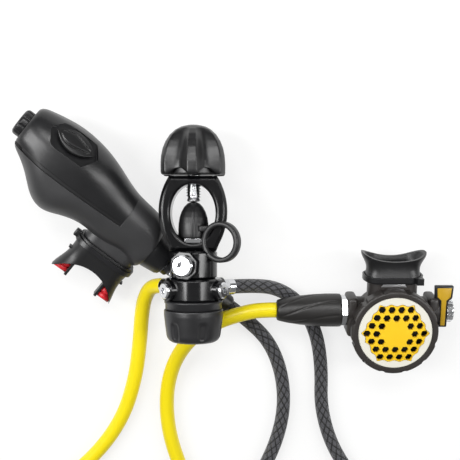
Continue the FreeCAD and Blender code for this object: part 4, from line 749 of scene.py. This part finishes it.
hub_frame = LEVER_FRAME @ Matrix.Rotation(math.radians(90), 4, "Y")
HUB_PROFILE = [(0.5, 0.0), (7.2, 0.0), (7.9, 0.7), (7.9, 5.2), (7.2, 5.9), (0.5, 5.9)]
lever_hub = lathe("venturi_lever_hub", hub_frame, black_nylon, HUB_PROFILE, "octopus_venturi", sides=72)
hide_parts("octopus_venturi_lever")
LEVER_RIM = [(-3.4, -11), (3.4, -11), (3.6, 9.5), (6.6, 12), (7.2, 22), (-7.2, 22), (-6.6, 12), (-3.6, 9.5)]
LEVER_INLAY = [(-1.7, -9.5), (1.7, -9.5), (1.9, 10.5), (4.9, 13.2), (5.5, 20.4), (-5.5, 20.4), (-4.9, 13.2),
               (-1.9, 10.5)]
plate_frame = LEVER_FRAME @ Matrix.Translation((0.003, 0, 0.0045))
lever_plate = flat_plate("venturi_lever_plate", plate_frame, LEVER_RIM, 4.2, 0.9, black_nylon,
                         "octopus_venturi")
# The inlay is a second shot of mustard ABS, a little proud of the black.
mustard_abs = grained("moulded_mustard_abs", "#b08a16", "#c09a22", 0.36, 0.0006, 0.00001)
inlay_frame = plate_frame @ Matrix.Translation((0, 0, 0.0038))
lever_inlay = flat_plate("venturi_lever_inlay", inlay_frame, LEVER_INLAY, 0.8, 0.25, mustard_abs,
                         "octopus_venturi")


# Lugs on both sides of the octopus case, moulded with it where the cross tube comes out.
# A small bare plate of brushed aluminium is glued on the neck of the mouthpiece.
LUG_SIZE = (8.0, 31.0, 22.0)
LUG_CORNER = 2.6
for lug_name, reach in (("case_lug_left", -0.0308), ("case_lug_right", 0.0308)):
    lug_frame = OCTOPUS @ Matrix.Translation((reach, 0.0085, 0.0235))
    lug = rounded_block(lug_name, lug_frame, LUG_SIZE, LUG_CORNER, warm_nylon)
PLATE_OUTLINE = [(-9.6, -1.4), (9.6, -1.4), (7.8, 1.5), (-7.8, 1.5)]
# Brushed aluminium: a pale silver with a fine grain that dulls its mirror.
brushed = grained("brushed_aluminium", "#a9a9aa", "#c2c2c3", 0.34, 0.0003, 0.00001, 0.0002)
brushed.node_tree.nodes["Principled BSDF"].inputs["Metallic"].default_value = 1.0
neck_frame = OCTOPUS @ Matrix.Translation((-0.0005, 0.0346, 0.03345))
neck_plate = flat_plate("neck_plate", neck_frame, PLATE_OUTLINE, 0.6, 0.15, brushed)
